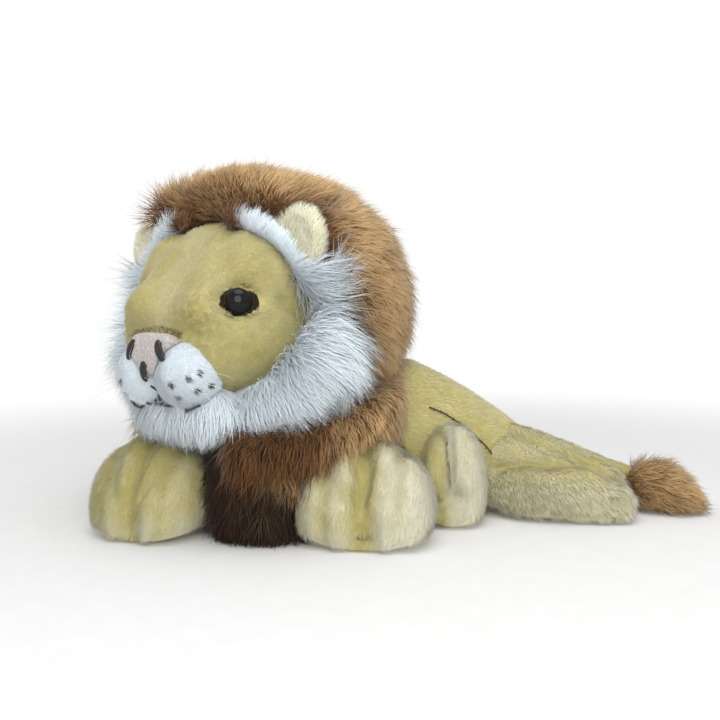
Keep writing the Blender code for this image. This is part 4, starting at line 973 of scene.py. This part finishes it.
def shoulder_combing(points, normals):
    away = points - np.array((0.0, -0.08, 0.09))
    away[:, 2] = 0
    return unit(away) * 0.5 + DOWN * 0.8


def body_combing(points, normals):
    return np.array((0.32, 0.85, -0.38)) + np.zeros_like(points)


def one_way(yaw, ahead, fall, points, normals):
    return limb_way(yaw) * ahead + DOWN * fall + np.zeros_like(points)


def ear_combing(points, normals):
    """Out to the rim of the ear."""
    return UP * 0.75 + unit((points - HEAD) @ LEFT[:, None] * LEFT) * 0.5


# Relief and the lines of the photograph -------------------------------------------------------


def paw_place(node, points):
    """Share of the reach and of the half width at which points of a limb lie."""
    root, yaw, reach, width, _ = PAWS[node]
    ahead = limb_way(yaw)
    across = np.array((-ahead[1], ahead[0], 0.0))
    away = points - np.array(root)
    return away @ ahead / reach, away @ across / (width / 2)


def valleys(node, points):
    """How far the skin is drawn in at the seams between toes: a bell curve across each seam,
    from the top of the paw to its front."""
    along, aside = paw_place(node, points)
    deep = sum(d * bell(aside - at, wide) for at, d, wide in TOE_SEAMS)
    return deep * ramp(along, 0.50, 0.72) * PAWS[node][4]


def looks_at_filling(node, points, normals):
    """Which points are on the inner face of a skin: a line along the normal meets the filling."""
    inside = [name for name, given in FILLINGS.items()
              if node.endswith("_skin") and given[1] == BACKINGS[node][1]]
    if not inside:
        return np.zeros(len(points), bool)
    tree = tree_of(*cad_arrays(*inside))
    return np.array([
        tree.ray_cast(Vector(p), Vector(n), 0.006)[0] is not None for p, n in zip(points, normals)
    ], bool)


@cache
def soft_of(node):
    """The softened form of a node, with its toes or its face drawn out: points, all faces, and
    the faces that look outwards."""
    fine = node in PAWS or node in ("head_skin", "muzzle")
    points, faces = softened(node, 2 if fine else 1, 2, CLOTH_PUSH)
    normals = point_normals(points, faces)
    inner = looks_at_filling(node, points, normals)
    normals[inner] *= -1
    free = ramp(points[:, 2], 0.001, 0.010)
    if node in PAWS:
        along, _ = paw_place(node, points)
        full = 0.0022 * ramp(along, 0.50, 0.80) * PAWS[node][4]
        points = points + normals * (free * (full - valleys(node, points)))[:, None]
    relief = {"head_skin": face_relief, "hindleg_left_skin": foot_relief,
              "hindleg_right_skin": small_foot_relief}.get(node)
    if relief:
        points = points + normals * (relief(points) * (1 if node == "head_skin" else free))[:, None]
    return points, faces, faces[~inner[faces].any(1)]


@cache
def foot_line():
    """The crease over the left hind foot and the line under the tail."""
    low = [(497, 466), (522, 463), (549, 467), (585, 470), (622, 488)]
    high = [(513, 428), (540, 446), (565, 455), (595, 468), (615, 480)]
    return [dropped(line, ["hindleg_left_skin"], 40)[0] for line in (low, high)]


@cache
def small_foot_line():
    """The crease of the right hind foot below the belly: an upright line and a level one."""
    upright = [(443, 438), (445, 460), (447, 480), (444, 497)]
    level = [(428, 497), (440, 500), (453, 493)]
    return [dropped(line, ["hindleg_right_skin"], count)[0]
            for line, count in ((upright, 30), (level, 16))]


@cache
def flank_line():
    """The hand-closed seam on the left flank, laid on the torso, with its normals."""
    return dropped([(428, 408), (443, 414), (460, 425), (474, 437), (487, 449), (500, 466)],
                   ["torso_skin"], 40)


@cache
def forehead_seams():
    """The seam from the crown to each eye, the short crease on the brow and the fold beside each
    eye."""
    long, _ = dropped([(238, 221), (232, 240), (226, 262), (223, 285)], ["head_skin"], 24)
    short, _ = dropped([(188, 226), (187, 236), (186, 246)], ["head_skin"], 10)
    fold, _ = dropped([(279, 303), (288, 307), (297, 313)], ["head_skin", "eye_liner_left"], 10)
    return np.concatenate([long, mirrored(long), short, fold, mirrored(fold)])


@cache
def face_edges():
    """The upper edge of the nose patch and the upper lid of each eye, where dark hair paints shadow
    lines.
    """
    nose, _ = dropped([(133, 336), (148, 331), (163, 331), (178, 336)], ["head_skin"], 20)
    lid, _ = dropped([(232, 293), (242, 287), (255, 287), (266, 294)],
                     ["head_skin", "eye_liner_left"], 16)
    return np.concatenate([nose, lid, mirrored(lid)])


def muzzle_dots():
    """The dots where the whiskers grow, of the left side and then of the right."""
    spots, _ = dropped([(170, 384), (187, 378), (199, 372), (210, 385), (195, 390), (177, 397)],
                       ["muzzle"])
    return np.concatenate([spots, mirrored(spots)])


def toe_lines(side):
    """Lines of the sewn toes of a foreleg, laid on its cloth from above and ahead of the paw."""
    node = "foreleg_" + side + "_skin"
    root, yaw, reach, width, _ = PAWS[node]
    tree = tree_of(*soft_of(node)[:2])
    ahead = limb_way(yaw)
    across = np.array((-ahead[1], ahead[0], 0.0))
    lines = []
    for aside, _, _ in TOE_SEAMS:
        middle = np.array(root) + ahead * reach * 0.66 + across * aside * width / 2 + UP * 0.020
        spots = []
        for angle in np.radians(np.linspace(15.0, 88.0, 22)):
            way = -(ahead * math.sin(angle) + UP * math.cos(angle))
            spot, _, _, _ = tree.ray_cast(Vector(middle - way * 0.12), Vector(way))
            if spot is not None:
                spots.append(np.array(spot) + way * 0.0008)
        lines.append(np.array(spots))
    return lines


def foot_relief(points):
    """The foot bulges below its crease, and the skin is drawn in at both lines."""
    low, high = foot_line()
    along, aside = paw_place("hindleg_left_skin", points)
    foot = ramp(-aside, 0.0, 0.8) * (1 - ramp(points[:, 2], 0.030, 0.046))
    foot = foot * ramp(along, -0.15, 0.25) * (1 + 0.5 * waves(points, 0.035, 19))
    crease = bell(near(points, low), 0.0060) + 0.9 * bell(near(points, high), 0.0045)
    return 0.0085 * foot - 0.0062 * crease


def small_foot_relief(points):
    """A little fuller, and drawn in at the crease."""
    gap = near(points, np.concatenate(small_foot_line()))
    return 0.0035 * ramp(gap, 0.004, 0.012) - 0.0045 * bell(gap, 0.0040)


def face_relief(points):
    """Brow, bridge and cheeks stand out, and the skin is drawn in at the eyes and seams."""
    ahead, side, high = head_frame(points)
    front = ramp(ahead, -0.01, 0.03) * ramp(high, -0.055, -0.03)
    eye = ramp(near(points, eye_places()), 0.011, 0.017)
    spot = np.stack([ahead, np.abs(side), high], 1)
    temple = bell(np.linalg.norm(spot - (0.033, 0.042, 0.044), axis=1), 0.026)
    bridge = bell(np.linalg.norm(spot - (0.069, 0.029, 0.010), axis=1), 0.017)
    nose = 1 - ramp(ahead, 0.062, 0.074) * (1 - ramp(high, -0.010, 0.004))
    seam = 1 - ramp(near(points, forehead_seams()), 0.0015, 0.007)
    full = 0.0030 * (1 + 0.4 * waves(points, 0.045, 17)) + 0.0070 * temple + 0.0118 * bridge
    return front * (full * eye * nose - 0.0030 * seam)


def eye_aim(sign):
    return unit(np.array((FACE, LEFT, UP)).T @ (EYE_AIM * np.array((1, sign, 1))))


def eye_places():
    return [cad_arrays("eye_" + side)[0].mean(0) for side in SIDES]


# Zones, where hair has its second pair of colours, and trims, which scale its length ----------


def flank_zone(points, normals):
    """Paler on the back, where the cloth faces up, as painted light from above, and in soft
    patches.
    """
    return np.clip(0.22 * normals[:, 2] + 0.16 * waves(points, 0.05, 1) + 0.05, 0, 0.6)


def flank_trim(points):
    """Short hair beside the closed seam."""
    return 0.45 + 0.55 * ramp(near(points, flank_line()[0]), 0.0008, 0.0030)


def paw_zone(side, points, normals):
    """Cream on the toes, mostly on the outer side of the left paw, and tan in the valleys as
    painted shade.
    """
    node = "foreleg_" + side + "_skin"
    along, aside = paw_place(node, points)
    toes = ramp(along, 0.45, 0.85)
    low = ramp(-points[:, 2], -0.030, -0.006)
    if side == "left":
        cream = 0.25 + toes * (0.35 + 0.45 * ramp(aside, -0.3, 0.6)) + 0.25 * low * toes
    else:
        cream = 0.12 + toes * (0.12 + 0.45 * low)
    patch = 0.22 * waves(points, 0.018, 2)
    # Painted shade: less cream where the toe valleys draw the skin in
    return np.clip(cream + patch * toes - 0.7 * valleys(node, points) / 0.006, 0, 1)


def hind_zone(points, normals):
    """Pale tips over the foot below its crease, with painted shade along the crease lines."""
    _, aside = paw_place("hindleg_left_skin", points)
    foot = (1 - ramp(points[:, 2], 0.026, 0.044)) * ramp(-aside, -0.4, 0.3)
    tail = ramp(points[:, 2], 0.040, 0.046) * 0.4
    line = 1 - ramp(near(points, np.concatenate(foot_line())), 0.001, 0.006)
    # Painted shade: less pale along both crease lines
    pale = 0.10 + 0.75 * foot + tail - 0.8 * line + 0.18 * waves(points, 0.015, 4)
    return np.clip(pale, 0, 0.9)


def hind_trim(points):
    """Longer nap on the foot, and short hair in the creases."""
    foot = 1 - ramp(points[:, 2], 0.030, 0.046)
    gap = ramp(near(points, np.concatenate(foot_line())), 0.0008, 0.0035)
    return (1 + 0.7 * foot) * (0.35 + 0.65 * gap)


def right_hind_zone(points, normals):
    """Tan on one side of the crease and cream on the other."""
    side = (points - small_foot_line()[0].mean(0)) @ CAMERA_RIGHT
    return np.clip(0.15 + 0.75 * ramp(side, -0.002, 0.006) + 0.15 * waves(points, 0.015, 5), 0, 1)


def face_zone(points, normals):
    """A slightly paler middle line and muzzle side."""
    ahead, side, _ = head_frame(points)
    blaze = (1 - ramp(np.abs(side), 0.004, 0.016)) * ramp(ahead, 0.02, 0.05)
    return np.clip(0.10 + 0.22 * blaze + 0.10 * waves(points, 0.03, 6), 0, 0.7)


def ear_zone(pale, points, normals):
    return np.clip(pale + 0.2 * waves(points, 0.01, 8), 0, 1)


def mane_zone(points, normals):
    """Darker towards the face, in a band under the front of the crest, lower down and in soft
    patches: painted shade under the mane and its crest, partly the mane's own darker brown.
    """
    ahead, _, high = head_frame(points)
    # Painted shade: a dark band under the front of the crest
    crest_shade_band = (1 - ramp(high, 0.066, 0.086)) * ramp(high, 0.040, 0.055) * ramp(ahead, -0.015, 0.010)
    dark = 0.35 * ramp(ahead, -0.005, 0.030) + 0.75 * crest_shade_band + 0.10 * ramp(-high, 0.01, 0.075)
    return np.clip(dark + 0.38 * waves(points, 0.034, 9) - 0.10, 0, 1)


def mane_trim(points):
    """Longer at the back and the sides than at the front edge."""
    ahead, side, high = head_frame(points)
    tip = ramp(-side, 0.015, 0.055) * ramp(high, 0.035, 0.075)
    front = 0.45 * ramp(ahead, -0.01, 0.04) * (1 - tip)
    low = ramp(-high, 0.0, 0.045)
    size = 1.0 - front + 0.40 * tip + 0.45 * low + 0.12 * waves(points, 0.03, 13)
    return size * (1 - 0.24 * ramp(high, 0.080, 0.100)) * (0.4 + 0.6 * beside_ears(points))


def shoulder_zone(points, normals):
    """Dark under the chin as painted shade, and lighter over the shoulder."""
    middle, _ = dropped([(240, 440), (262, 452)], ["shoulder_mane_left", "chest_mane"])
    lit = 1.15 * ramp(near(points, middle), 0.028, 0.070)
    return np.clip(1.15 - lit + 0.3 * waves(points, 0.02, 10), 0, 1)


def shoulder_trim(points):
    """Locks that hang over the lower edge."""
    low = 1 - ramp(points[:, 2], 0.055, 0.080)
    return 0.9 + 0.7 * low + 0.35 * waves(points, 0.016, 16)


def chest_zone(points, normals):
    """A lighter brown tuft below the left shoulder and in a few locks."""
    tuft, _ = dropped([(300, 455)], ["chest_mane", "shoulder_mane_left"])
    lit = 1 - ramp(near(points, tuft), 0.012, 0.036)
    return np.clip(0.85 * lit + 0.22 * waves(points, 0.02, 12) - 0.1, 0, 1)


def chest_trim(points):
    return 1.0 + 0.3 * waves(points, 0.018, 18)


def beside_ears(points):
    """Short hair in front of the ears, so that they stand free."""
    middles = [cad_arrays(f"ear_{side}_front")[0].mean(0) for side in SIDES]
    return 0.40 + 0.60 * ramp(near(points, middles), 0.014, 0.030)


def ruff_zone(points, normals):
    """Mane brown where the strips end at the crown."""
    _, side, high = head_frame(points)
    side = np.abs(side) + 0.004 * waves(points, 0.01, 15)
    return ramp(high, 0.045, 0.055) * (1 - ramp(side, 0.026, 0.037))


def ruff_trim(points):
    """Longest at the cheeks, short beside the forehead."""
    high = head_frame(points)[2]
    low = 1.30 - 0.52 * ramp(-high, 0.015, 0.055)
    size = low - 0.82 * ramp(high, 0.024, 0.052) + 0.12 * waves(points, 0.02, 14)
    return size * beside_ears(points)


def dot_zone(dots, points, normals):
    """Dark brushed dots where the whiskers grow."""
    return 1 - ramp(near(points, dots), 0.0016, 0.0028)


def muzzle_trim(points):
    """Shorter beside the nose and longer towards the chin."""
    return 0.75 + 0.5 * ramp(-head_frame(points)[2], 0.015, 0.05)


def eye_opening(points):
    """0 in the almond-shaped opening of each eye and 1 outside it."""
    shown = np.ones(len(points))
    for place, sign in zip(eye_places(), SIDES.values()):
        away = points - place
        aim = eye_aim(sign)
        flat = away - aim * (away @ aim)[:, None]
        side = np.linalg.norm(flat[:, :2], axis=1) / 0.0175
        edge = 0.0110 * (1 - np.minimum(side, 1) ** 1.15)
        far = ramp(np.linalg.norm(away, axis=1), 0.020, 0.022)
        shown *= np.maximum(ramp(np.abs(flat[:, 2]) - edge, 0.0, 0.0005), far)
    return shown


def face_trim(points):
    """Short at the nose, in the seams and beside the eyes."""
    size = 1.25 - 0.45 * ramp(head_frame(points)[0], 0.0, 0.07)
    gap = ramp(near(points, forehead_seams()), 0.001, 0.004)
    return size * (0.35 + 0.65 * gap) * eye_opening(points)


def edge_trim(points):
    """Longest along the edge itself."""
    gap = near(points, face_edges()) + 0.0010 * waves(points, 0.004, 20)
    return (1.1 - 0.8 * ramp(gap, 0.0004, 0.0028)) * eye_opening(points)


# Face pieces ----------------------------------------------------------------------------------


def make_eye(side, sign):
    """A domed button: flat back, shank and a dome that is a quarter of an ellipse, turned."""
    points, _ = cad_arrays("eye_" + side)
    aim = eye_aim(sign)
    high = points @ aim
    top, low = high.max(), high.min()
    flat = points - high[:, None] * aim
    rim = flat[high > top - EYE_DOME - 0.0001]
    middle = (rim.min(0) + rim.max(0)) / 2
    middle = middle - aim * (middle @ aim)
    radius = np.linalg.norm(flat - middle, axis=1).max()
    base = top - EYE_DOME
    profile = [(0, low), (EYE_SHANK - 0.0001, low), (EYE_SHANK, low + 0.0003),
               (EYE_SHANK, base - EYE_BACK), (radius - EYE_RIM, base - EYE_BACK), (radius, base)]
    profile += [(radius * math.cos(a), base + EYE_DOME * math.sin(a))
                for a in np.linspace(0, math.pi / 2, 14)[1:-1]]
    made = mesh_object(f"eye_{side}_button", *turned([*profile, (0, top)], middle, aim),
                       eye_material(), "head", "eye_plastic")
    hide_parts("eye_" + side)


def make_satin(node):
    """Satin stitches: threads side by side, each an arch along the stitch's longest axis."""
    points, _ = cad_arrays(node)
    middle = (points.max(0) + points.min(0)) / 2
    long = np.linalg.svd(points - points.mean(0), full_matrices=False)[2][0]
    out = unit(FACE * 0.96 + UP * 0.25)
    out = unit(out - long * (out @ long))
    wide = np.cross(long, out)
    half = np.abs((points - middle) @ long).max()
    breadth = np.abs((points - middle) @ wide).max()
    top = ((points - middle) @ out).max()
    thread = bpy.context.scene.lion_face.thread
    share = np.linspace(-1, 1, 15)
    cords = []
    for offset in np.linspace(-1, 1, max(3, int(round(2 * breadth / thread)) + 1)):
        reach = half * SATIN_LONGER * math.sqrt(1 - 0.55 * offset * offset)
        arch = np.sqrt(np.clip(1 - share ** 2 * 0.94, 0, 1)) * math.sqrt(1 - 0.5 * offset * offset)
        line = middle + long * (share * reach)[:, None] + wide * (offset * breadth * SATIN_WIDER)
        line = line + out * ((top + SATIN_RISE) * arch - SATIN_DEPTH)[:, None]
        cords.append(tube(line, thread * 0.55))
    made = mesh_object(node + "_threads", *joined(cords),
                       thread_material("black_satin", (0.012, 0.012, 0.014)), "head",
                       "black_thread")
    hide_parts(node)


def make_mouth():
    """Thread lines from the nose down and along both lips, laid on the muzzle."""
    nodes = ["muzzle", "chin_tuft"]
    middle, normals = dropped([(157, 385), (158, 395), (160, 404)], nodes, 8)
    lip, out = dropped([(160, 404), (172, 407), (186, 406), (198, 400)], nodes, 16)
    lip = lip + out * 0.0040
    cords = [tube(middle + normals * 0.0036, 0.0008), tube(lip, 0.0009),
             tube(mirrored(lip), 0.0009)]
    mesh_object("mouth_thread", *joined(cords),
                thread_material("grey_thread", (0.05, 0.06, 0.065)), "head", "black_thread")


def make_whiskers():
    """Thin stiff bristles that leave three dots of each side in a shallow arc."""
    dots = muzzle_dots()
    half = len(dots) // 2
    length = bpy.context.scene.lion_face.whisker
    s = np.linspace(0, 1, 12)[:, None]
    cords = []
    for sign, spots in ((1, dots[:half]), (-1, dots[half:])):
        for k in (2, 3, 4):
            way = unit(LEFT * sign * 0.93 + FACE * 0.10 + UP * (0.10 - 0.16 * (k - 2)))
            line = spots[k] + way * s * length + DOWN * s * s * 0.006 + FACE * 0.002 * s
            cords.append(tube(line, 0.00018 * (1 - 0.7 * s[:, 0]), 5))
    made, _, shader, _ = clouded_material(
        "whisker_bristle", 500.0, 2.0, (0.70, 0.72, 0.72), (0.9, 0.92, 0.92))
    shader.inputs["Roughness"].default_value = 0.35
    mesh_object("whiskers", *joined(cords), made, "head", "white_plush")


# Stage ----------------------------------------------------------------------------------------


def area_lamp(name, place, target, size, power):
    lamp = bpy.data.lights.new(name, "AREA")
    lamp.shape = "DISK"
    lamp.size = size
    lamp.energy = power
    made = bpy.data.objects.new(name, lamp)
    bpy.context.scene.collection.objects.link(made)
    made.location = place
    made.rotation_euler = (Vector(target) - Vector(place)).to_track_quat("-Z", "Y").to_euler()


def stage_material():
    """Pale floor with a faint grain, which for the camera fades into the background far out."""
    made, tree, shader, _ = clouded_material(
        "stage_floor", 60.0, 4.0, (0.80, 0.80, 0.80), (0.86, 0.86, 0.86))
    shader.inputs["Roughness"].default_value = 0.9
    away = tree.nodes.new("ShaderNodeVectorMath")
    away.operation = "LENGTH"
    tree.links.new(object_coords(tree), away.inputs[0])
    camera_ray = tree.nodes.new("ShaderNodeLightPath").outputs["Is Camera Ray"]
    far = spread(tree, away.outputs["Value"], 0.30, 0.95)
    glow = tree.nodes.new("ShaderNodeEmission")
    mix = tree.nodes.new("ShaderNodeMixShader")
    fed(tree, mix.inputs, (
        maths(tree, "MULTIPLY", far, camera_ray), shader.outputs[0], glow.outputs[0]))
    tree.links.new(mix.outputs[0], tree.nodes["Material Output"].inputs["Surface"])
    return made


def make_stage(scene):
    settings = scene.lion_stage
    mesh = bpy.data.meshes.new("stage_floor")
    corners = [(x * FLOOR_SIZE, y * FLOOR_SIZE, 0) for x, y in ((-1, -1), (1, -1), (1, 1), (-1, 1))]
    mesh.from_pydata(corners, [], [(0, 1, 2, 3)])
    mesh.materials.append(stage_material())
    floor = bpy.data.objects.new("stage_floor", mesh)
    scene.collection.objects.link(floor)

    world = bpy.data.worlds.new("studio")
    scene.world = world
    world.use_nodes = True
    tree = world.node_tree
    background = tree.nodes["Background"]
    path = tree.nodes.new("ShaderNodeLightPath").outputs
    seen = maths(tree, "MAXIMUM", path["Is Camera Ray"], path["Is Glossy Ray"])
    seen = maths(tree, "MAXIMUM", seen, path["Is Transmission Ray"])
    strength = maths(tree, "MULTIPLY_ADD", seen, 1.0 - settings.sky, settings.sky)
    fed(tree, (background.inputs["Color"], background.inputs["Strength"]),
        ((1, 1, 1, 1), strength))

    area_lamp("key_above", (0.35, -0.15, 1.15), (0, -0.02, 0.08), 0.9, settings.key)
    area_lamp("fill_front", (1.0, -0.5, 0.5), (0, -0.05, 0.1), 0.8, settings.fill)

    scene.view_settings.view_transform = "Standard"
    lens = bpy.data.cameras.new("photo_camera")
    lens.lens = LENS_MM
    lens.sensor_width = SENSOR_MM
    lens.clip_start = 0.01
    camera = bpy.data.objects.new("photo_camera", lens)
    scene.collection.objects.link(camera)
    axes = (CAMERA_RIGHT, np.cross(CAMERA_RIGHT, CAMERA_AHEAD), -CAMERA_AHEAD)
    turn = Matrix([axis.tolist() for axis in axes]).transposed().to_4x4()
    camera.matrix_world = Matrix.Translation(CAMERA) @ turn
    scene.camera = camera


# Operators ------------------------------------------------------------------------------------


class LION_OT_cloth(bpy.types.Operator):
    """Make the backing cloth of every skin and the filling inside it"""

    bl_idname = "lion.cloth"
    bl_label = "Cloth and filling"

    def execute(self, context):
        zones = {
            "foreleg_left_skin": partial(paw_zone, "left"),
            "foreleg_right_skin": partial(paw_zone, "right"),
            "hindleg_left_skin": hind_zone, "hindleg_right_skin": right_hind_zone,
            "ruff_left": ruff_zone, "ruff_right": ruff_zone,
        }
        for node, (name, body, slot, fill) in BACKINGS.items():
            points, faces, _ = soft_of(node)
            layers = None
            if node in zones:
                layers = {"zone": zones[node](points, point_normals(points, faces))}
            made = mesh_object(name, points, faces, cloth_material(slot), body, slot, layers)
            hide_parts(node)
        for node, (name, body, slot) in FILLINGS.items():
            points, faces = softened(node, 1, 2, 0.0)
            skin = node.replace("_stuffing", "_skin")
            if skin in PAWS:
                drawn = valleys(skin, points)[:, None]
                points = points - point_normals(points, faces) * drawn
            shown = open_roots(points, point_normals(points, faces), node, 0.004)
            made = mesh_object(name, points, faces, cloth_material(slot), body, slot,
                               {"zone": shown.astype(float)})
            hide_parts(node)
        return {"FINISHED"}


class LION_OT_body_pile(bpy.types.Operator):
    """Grow the short pile of the torso, legs and tail"""

    bl_idname = "lion.body_pile"
    bl_label = "Body pile"

    def execute(self, context):
        short = context.scene.lion_short
        length, width, density = short.length, short.width, short.density
        for seed, (side, sign) in zip((11, 13), SIDES.items()):
            grow("torso_skin", "tan", body_combing, density, length, width, PLUSH_STYLE, seed,
                 f"torso_{side}_pile", flank_zone, flank_trim,
                 part=lambda roots, sign=sign: (roots @ BODY_LEFT) * sign > 0)
        for seed, side in zip((21, 31), SIDES):
            node = f"foreleg_{side}_skin"
            grow(node, "tan", partial(one_way, PAWS[node][1], 0.75, 0.55), density * 1.2,
                 length * 1.2, width, PLUSH_STYLE, seed, zone=partial(paw_zone, side))
        grow("hindleg_left_skin", "nap", partial(one_way, 20.0, 0.6, 0.6), density * 1.15, length,
             width, {**PLUSH_STYLE, "lift": 50.0, "draw": 0.3, "tiers": 0.35}, 41,
             zone=hind_zone, trim=hind_trim)
        grow("hindleg_right_skin", "tan", partial(one_way, -35.0, 0.5, 0.7), density * 1.2,
             length * 1.2, width, PLUSH_STYLE, 51, zone=right_hind_zone)
        grow("tail_skin", "tan", partial(one_way, 38.0, 0.9, 0.2), density, length * 0.9, width,
             PLUSH_STYLE, 61)
        for seed, body in enumerate(
                ("torso", "foreleg_right", "foreleg_left", "hindleg_left", "hindleg_right"), 63):
            grow(body + "_stuffing", "tan", body_combing, density, length, width, PLUSH_STYLE,
                 seed, body + "_gusset_pile", reach=0.004)
        return {"FINISHED"}


class LION_OT_head_pile(bpy.types.Operator):
    """Grow the short pile of the face and ears"""

    bl_idname = "lion.head_pile"
    bl_label = "Head pile"

    def execute(self, context):
        short = context.scene.lion_short
        length, width, density = short.length, short.width * 0.92, short.density * 1.22
        for seed, (side, sign) in zip((71, 72), SIDES.items()):
            grow("head_skin", "face", head_combing, density, length * 0.78, width, FACE_STYLE,
                 seed, f"face_{side}_pile", face_zone, face_trim, 0.014,
                 lambda roots, sign=sign: head_frame(roots)[1] * sign > 0)
        # Dark brown hair along the nose patch's upper edge and the upper lids: painted shade,
        # partly the face's own brown
        grow("head_skin", "edge", head_combing, density * 1.4, length * 0.85, width, FACE_STYLE,
             77, "face_shadow_edge_pile", None, edge_trim, 0.014,
             lambda roots: near(roots, face_edges()) < 0.0030)
        for seed, side in zip((73, 75), SIDES):
            grow("eye_liner_" + side, "face", head_combing, density * 2.2, length * 0.75, width,
                 PLUSH_STYLE, seed, f"eye_{side}_fringe", face_zone, eye_opening, 0.001)
        for side in SIDES:
            for face, pale, seed in (("front", 0.95, 81), ("back", 0.55, 85)):
                grow(f"ear_{side}_{face}", "ear", ear_combing, density * 1.3, length * 1.15,
                     width, PLUSH_STYLE, seed, zone=partial(ear_zone, pale), reach=0.0015)
        return {"FINISHED"}


class LION_OT_mane(bpy.types.Operator):
    """Grow the mane, the shoulder and chest hair and the tail tuft"""

    bl_idname = "lion.mane"
    bl_label = "Mane and tuft"

    def execute(self, context):
        long = context.scene.lion_long
        length, width, density = long.length, long.width, long.density
        style = {**MANE_STYLE, "lock": long.lock}
        for seed, node in ((101, "mane_crest"), (103, "mane_left"), (105, "mane_right")):
            grow(node, "mane", mane_combing, density, length, width, style, seed,
                 zone=mane_zone, trim=mane_trim)
        for seed, side in zip((107, 109), SIDES):
            grow("shoulder_mane_" + side, "mane", shoulder_combing, density, length * 0.9, width,
                 {**style, "lift": 46.0, "sag": 0.35}, seed, zone=shoulder_zone,
                 trim=shoulder_trim)
        grow("chest_mane", "dark", chest_combing, density, length * 1.15, width,
             {**style, "lift": 42.0, "lie": 0.0, "stray": 30.0}, 111, zone=chest_zone,
             trim=chest_trim)
        grow("tail_tuft", "mane", partial(one_way, 30.0, 0.95, 0.12), density * 1.3,
             length * 0.85, width, {**style, "sag": 0.1, "lift": 40.0}, 113)
        return {"FINISHED"}


class LION_OT_white_pile(bpy.types.Operator):
    """Grow the ruff round the face, the chin and the muzzle"""

    bl_idname = "lion.white_pile"
    bl_label = "White pile"

    def execute(self, context):
        scene = context.scene
        white, width = scene.lion_white, scene.lion_long.width
        for seed, side in zip((121, 123), SIDES):
            grow("ruff_" + side, "ruff", ruff_combing, white.density, white.length, width * 0.9,
                 RUFF_STYLE, seed, zone=ruff_zone, trim=ruff_trim)
        grow("chin_tuft", "white", chin_combing, white.density, white.length * 0.72, width * 0.85,
             RUFF_STYLE, 125, "chin_pile")
        grow("muzzle", "white", muzzle_combing, scene.lion_short.density * 1.7, 0.0038, 0.0005,
             PLUSH_STYLE, 127, zone=partial(dot_zone, muzzle_dots()), trim=muzzle_trim,
             reach=0.0012)
        return {"FINISHED"}


class LION_OT_face(bpy.types.Operator):
    """Make the eyes, liners, nose, nostrils, mouth line and whiskers"""

    bl_idname = "lion.face"
    bl_label = "Face"

    def execute(self, context):
        for side, sign in SIDES.items():
            make_eye(side, sign)
            liner = mesh_object(f"eye_liner_{side}_felt",
                                *softened("eye_liner_" + side, 1, 1, 0.0),
                                cloth_material("black_felt"), "head", "black_felt")
            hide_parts("eye_liner_" + side)
            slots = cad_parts["eye_washer_" + side].data.materials
            slots.clear()
            slots.append(washer_material())
        nose = mesh_object("nose_velour_patch", *softened("nose_patch", 1, 1, 0.0),
                           cloth_material("nose_velour"), "head", "nose_velour")
        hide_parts("nose_patch")
        for name in ("nostril_stitch_left", "nostril_stitch_right", "nose_centre_stitch"):
            make_satin(name)
        make_mouth()
        make_whiskers()
        return {"FINISHED"}


class LION_OT_stitches(bpy.types.Operator):
    """Make the toe stitches and the hand-closed seam on the flank"""

    bl_idname = "lion.stitches"
    bl_label = "Stitches"

    def execute(self, context):
        brown = thread_material("brown_thread", (0.42, 0.34, 0.14))
        for side in SIDES:
            cords = [tube(line, 0.0003) for line in toe_lines(side)]
            mesh_object(f"toe_stitches_{side}", *joined(cords), brown, "foreleg_" + side,
                        "black_thread")
        line, out = flank_line()
        line, out = line + out * 0.0024, unit(out)
        cords = [tube(line, 0.0006)]
        for k in range(2, len(line) - 2, 3):
            side = unit(np.cross(line[k + 1] - line[k], out[k])) * 0.0015
            stitch = np.stack([line[k] + side, line[k] + out[k] * 0.0004, line[k] - side])
            cords.append(tube(stitch, 0.0003, 6))
        made = mesh_object("flank_seam_thread", *joined(cords),
                           thread_material("dark_thread", (0.07, 0.055, 0.025)), "torso",
                           "black_thread")
        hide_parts("closing_seam_thread")
        return {"FINISHED"}


class LION_OT_stage(bpy.types.Operator):
    """Make the floor, the lamps and the camera"""

    bl_idname = "lion.stage"
    bl_label = "Stage"

    def execute(self, context):
        make_stage(context.scene)
        return {"FINISHED"}


class LION_PT_panel(bpy.types.Panel):
    """The lion's operators and settings in the sidebar"""

    bl_label = "Plush Lion"
    bl_idname = "LION_PT_panel"
    bl_space_type = "VIEW_3D"
    bl_region_type = "UI"
    bl_category = "Plush Lion"

    def draw(self, context):
        for group in GROUPS:
            box = self.layout.box()
            box.label(text=group)
            settings = getattr(context.scene, group)
            for key in settings.bl_rna.properties.keys():
                if key not in ("name", "rna_type"):
                    box.prop(settings, key)
        for operator in OPERATORS:
            self.layout.operator(operator.bl_idname)


GROUPS = {
    "lion_short": ShortPile, "lion_long": LongPile, "lion_white": WhitePile,
    "lion_face": FaceSettings, "lion_stage": StageSettings,
}
OPERATORS = (
    LION_OT_cloth, LION_OT_body_pile, LION_OT_head_pile, LION_OT_mane, LION_OT_white_pile,
    LION_OT_face, LION_OT_stitches, LION_OT_stage,
)
CLASSES = (*GROUPS.values(), *OPERATORS, LION_PT_panel)


def register():
    for made in CLASSES:
        bpy.utils.register_class(made)
    for key, group in GROUPS.items():
        setattr(bpy.types.Scene, key, bpy.props.PointerProperty(type=group))


def unregister():
    for key in GROUPS:
        delattr(bpy.types.Scene, key)
    for made in reversed(CLASSES):
        bpy.utils.unregister_class(made)


def main():
    register()
    bpy.ops.lion.cloth()
    bpy.ops.lion.body_pile()
    bpy.ops.lion.head_pile()
    bpy.ops.lion.mane()
    bpy.ops.lion.white_pile()
    bpy.ops.lion.face()
    bpy.ops.lion.stitches()
    bpy.ops.lion.stage()


if __name__ == "__main__":
    main()
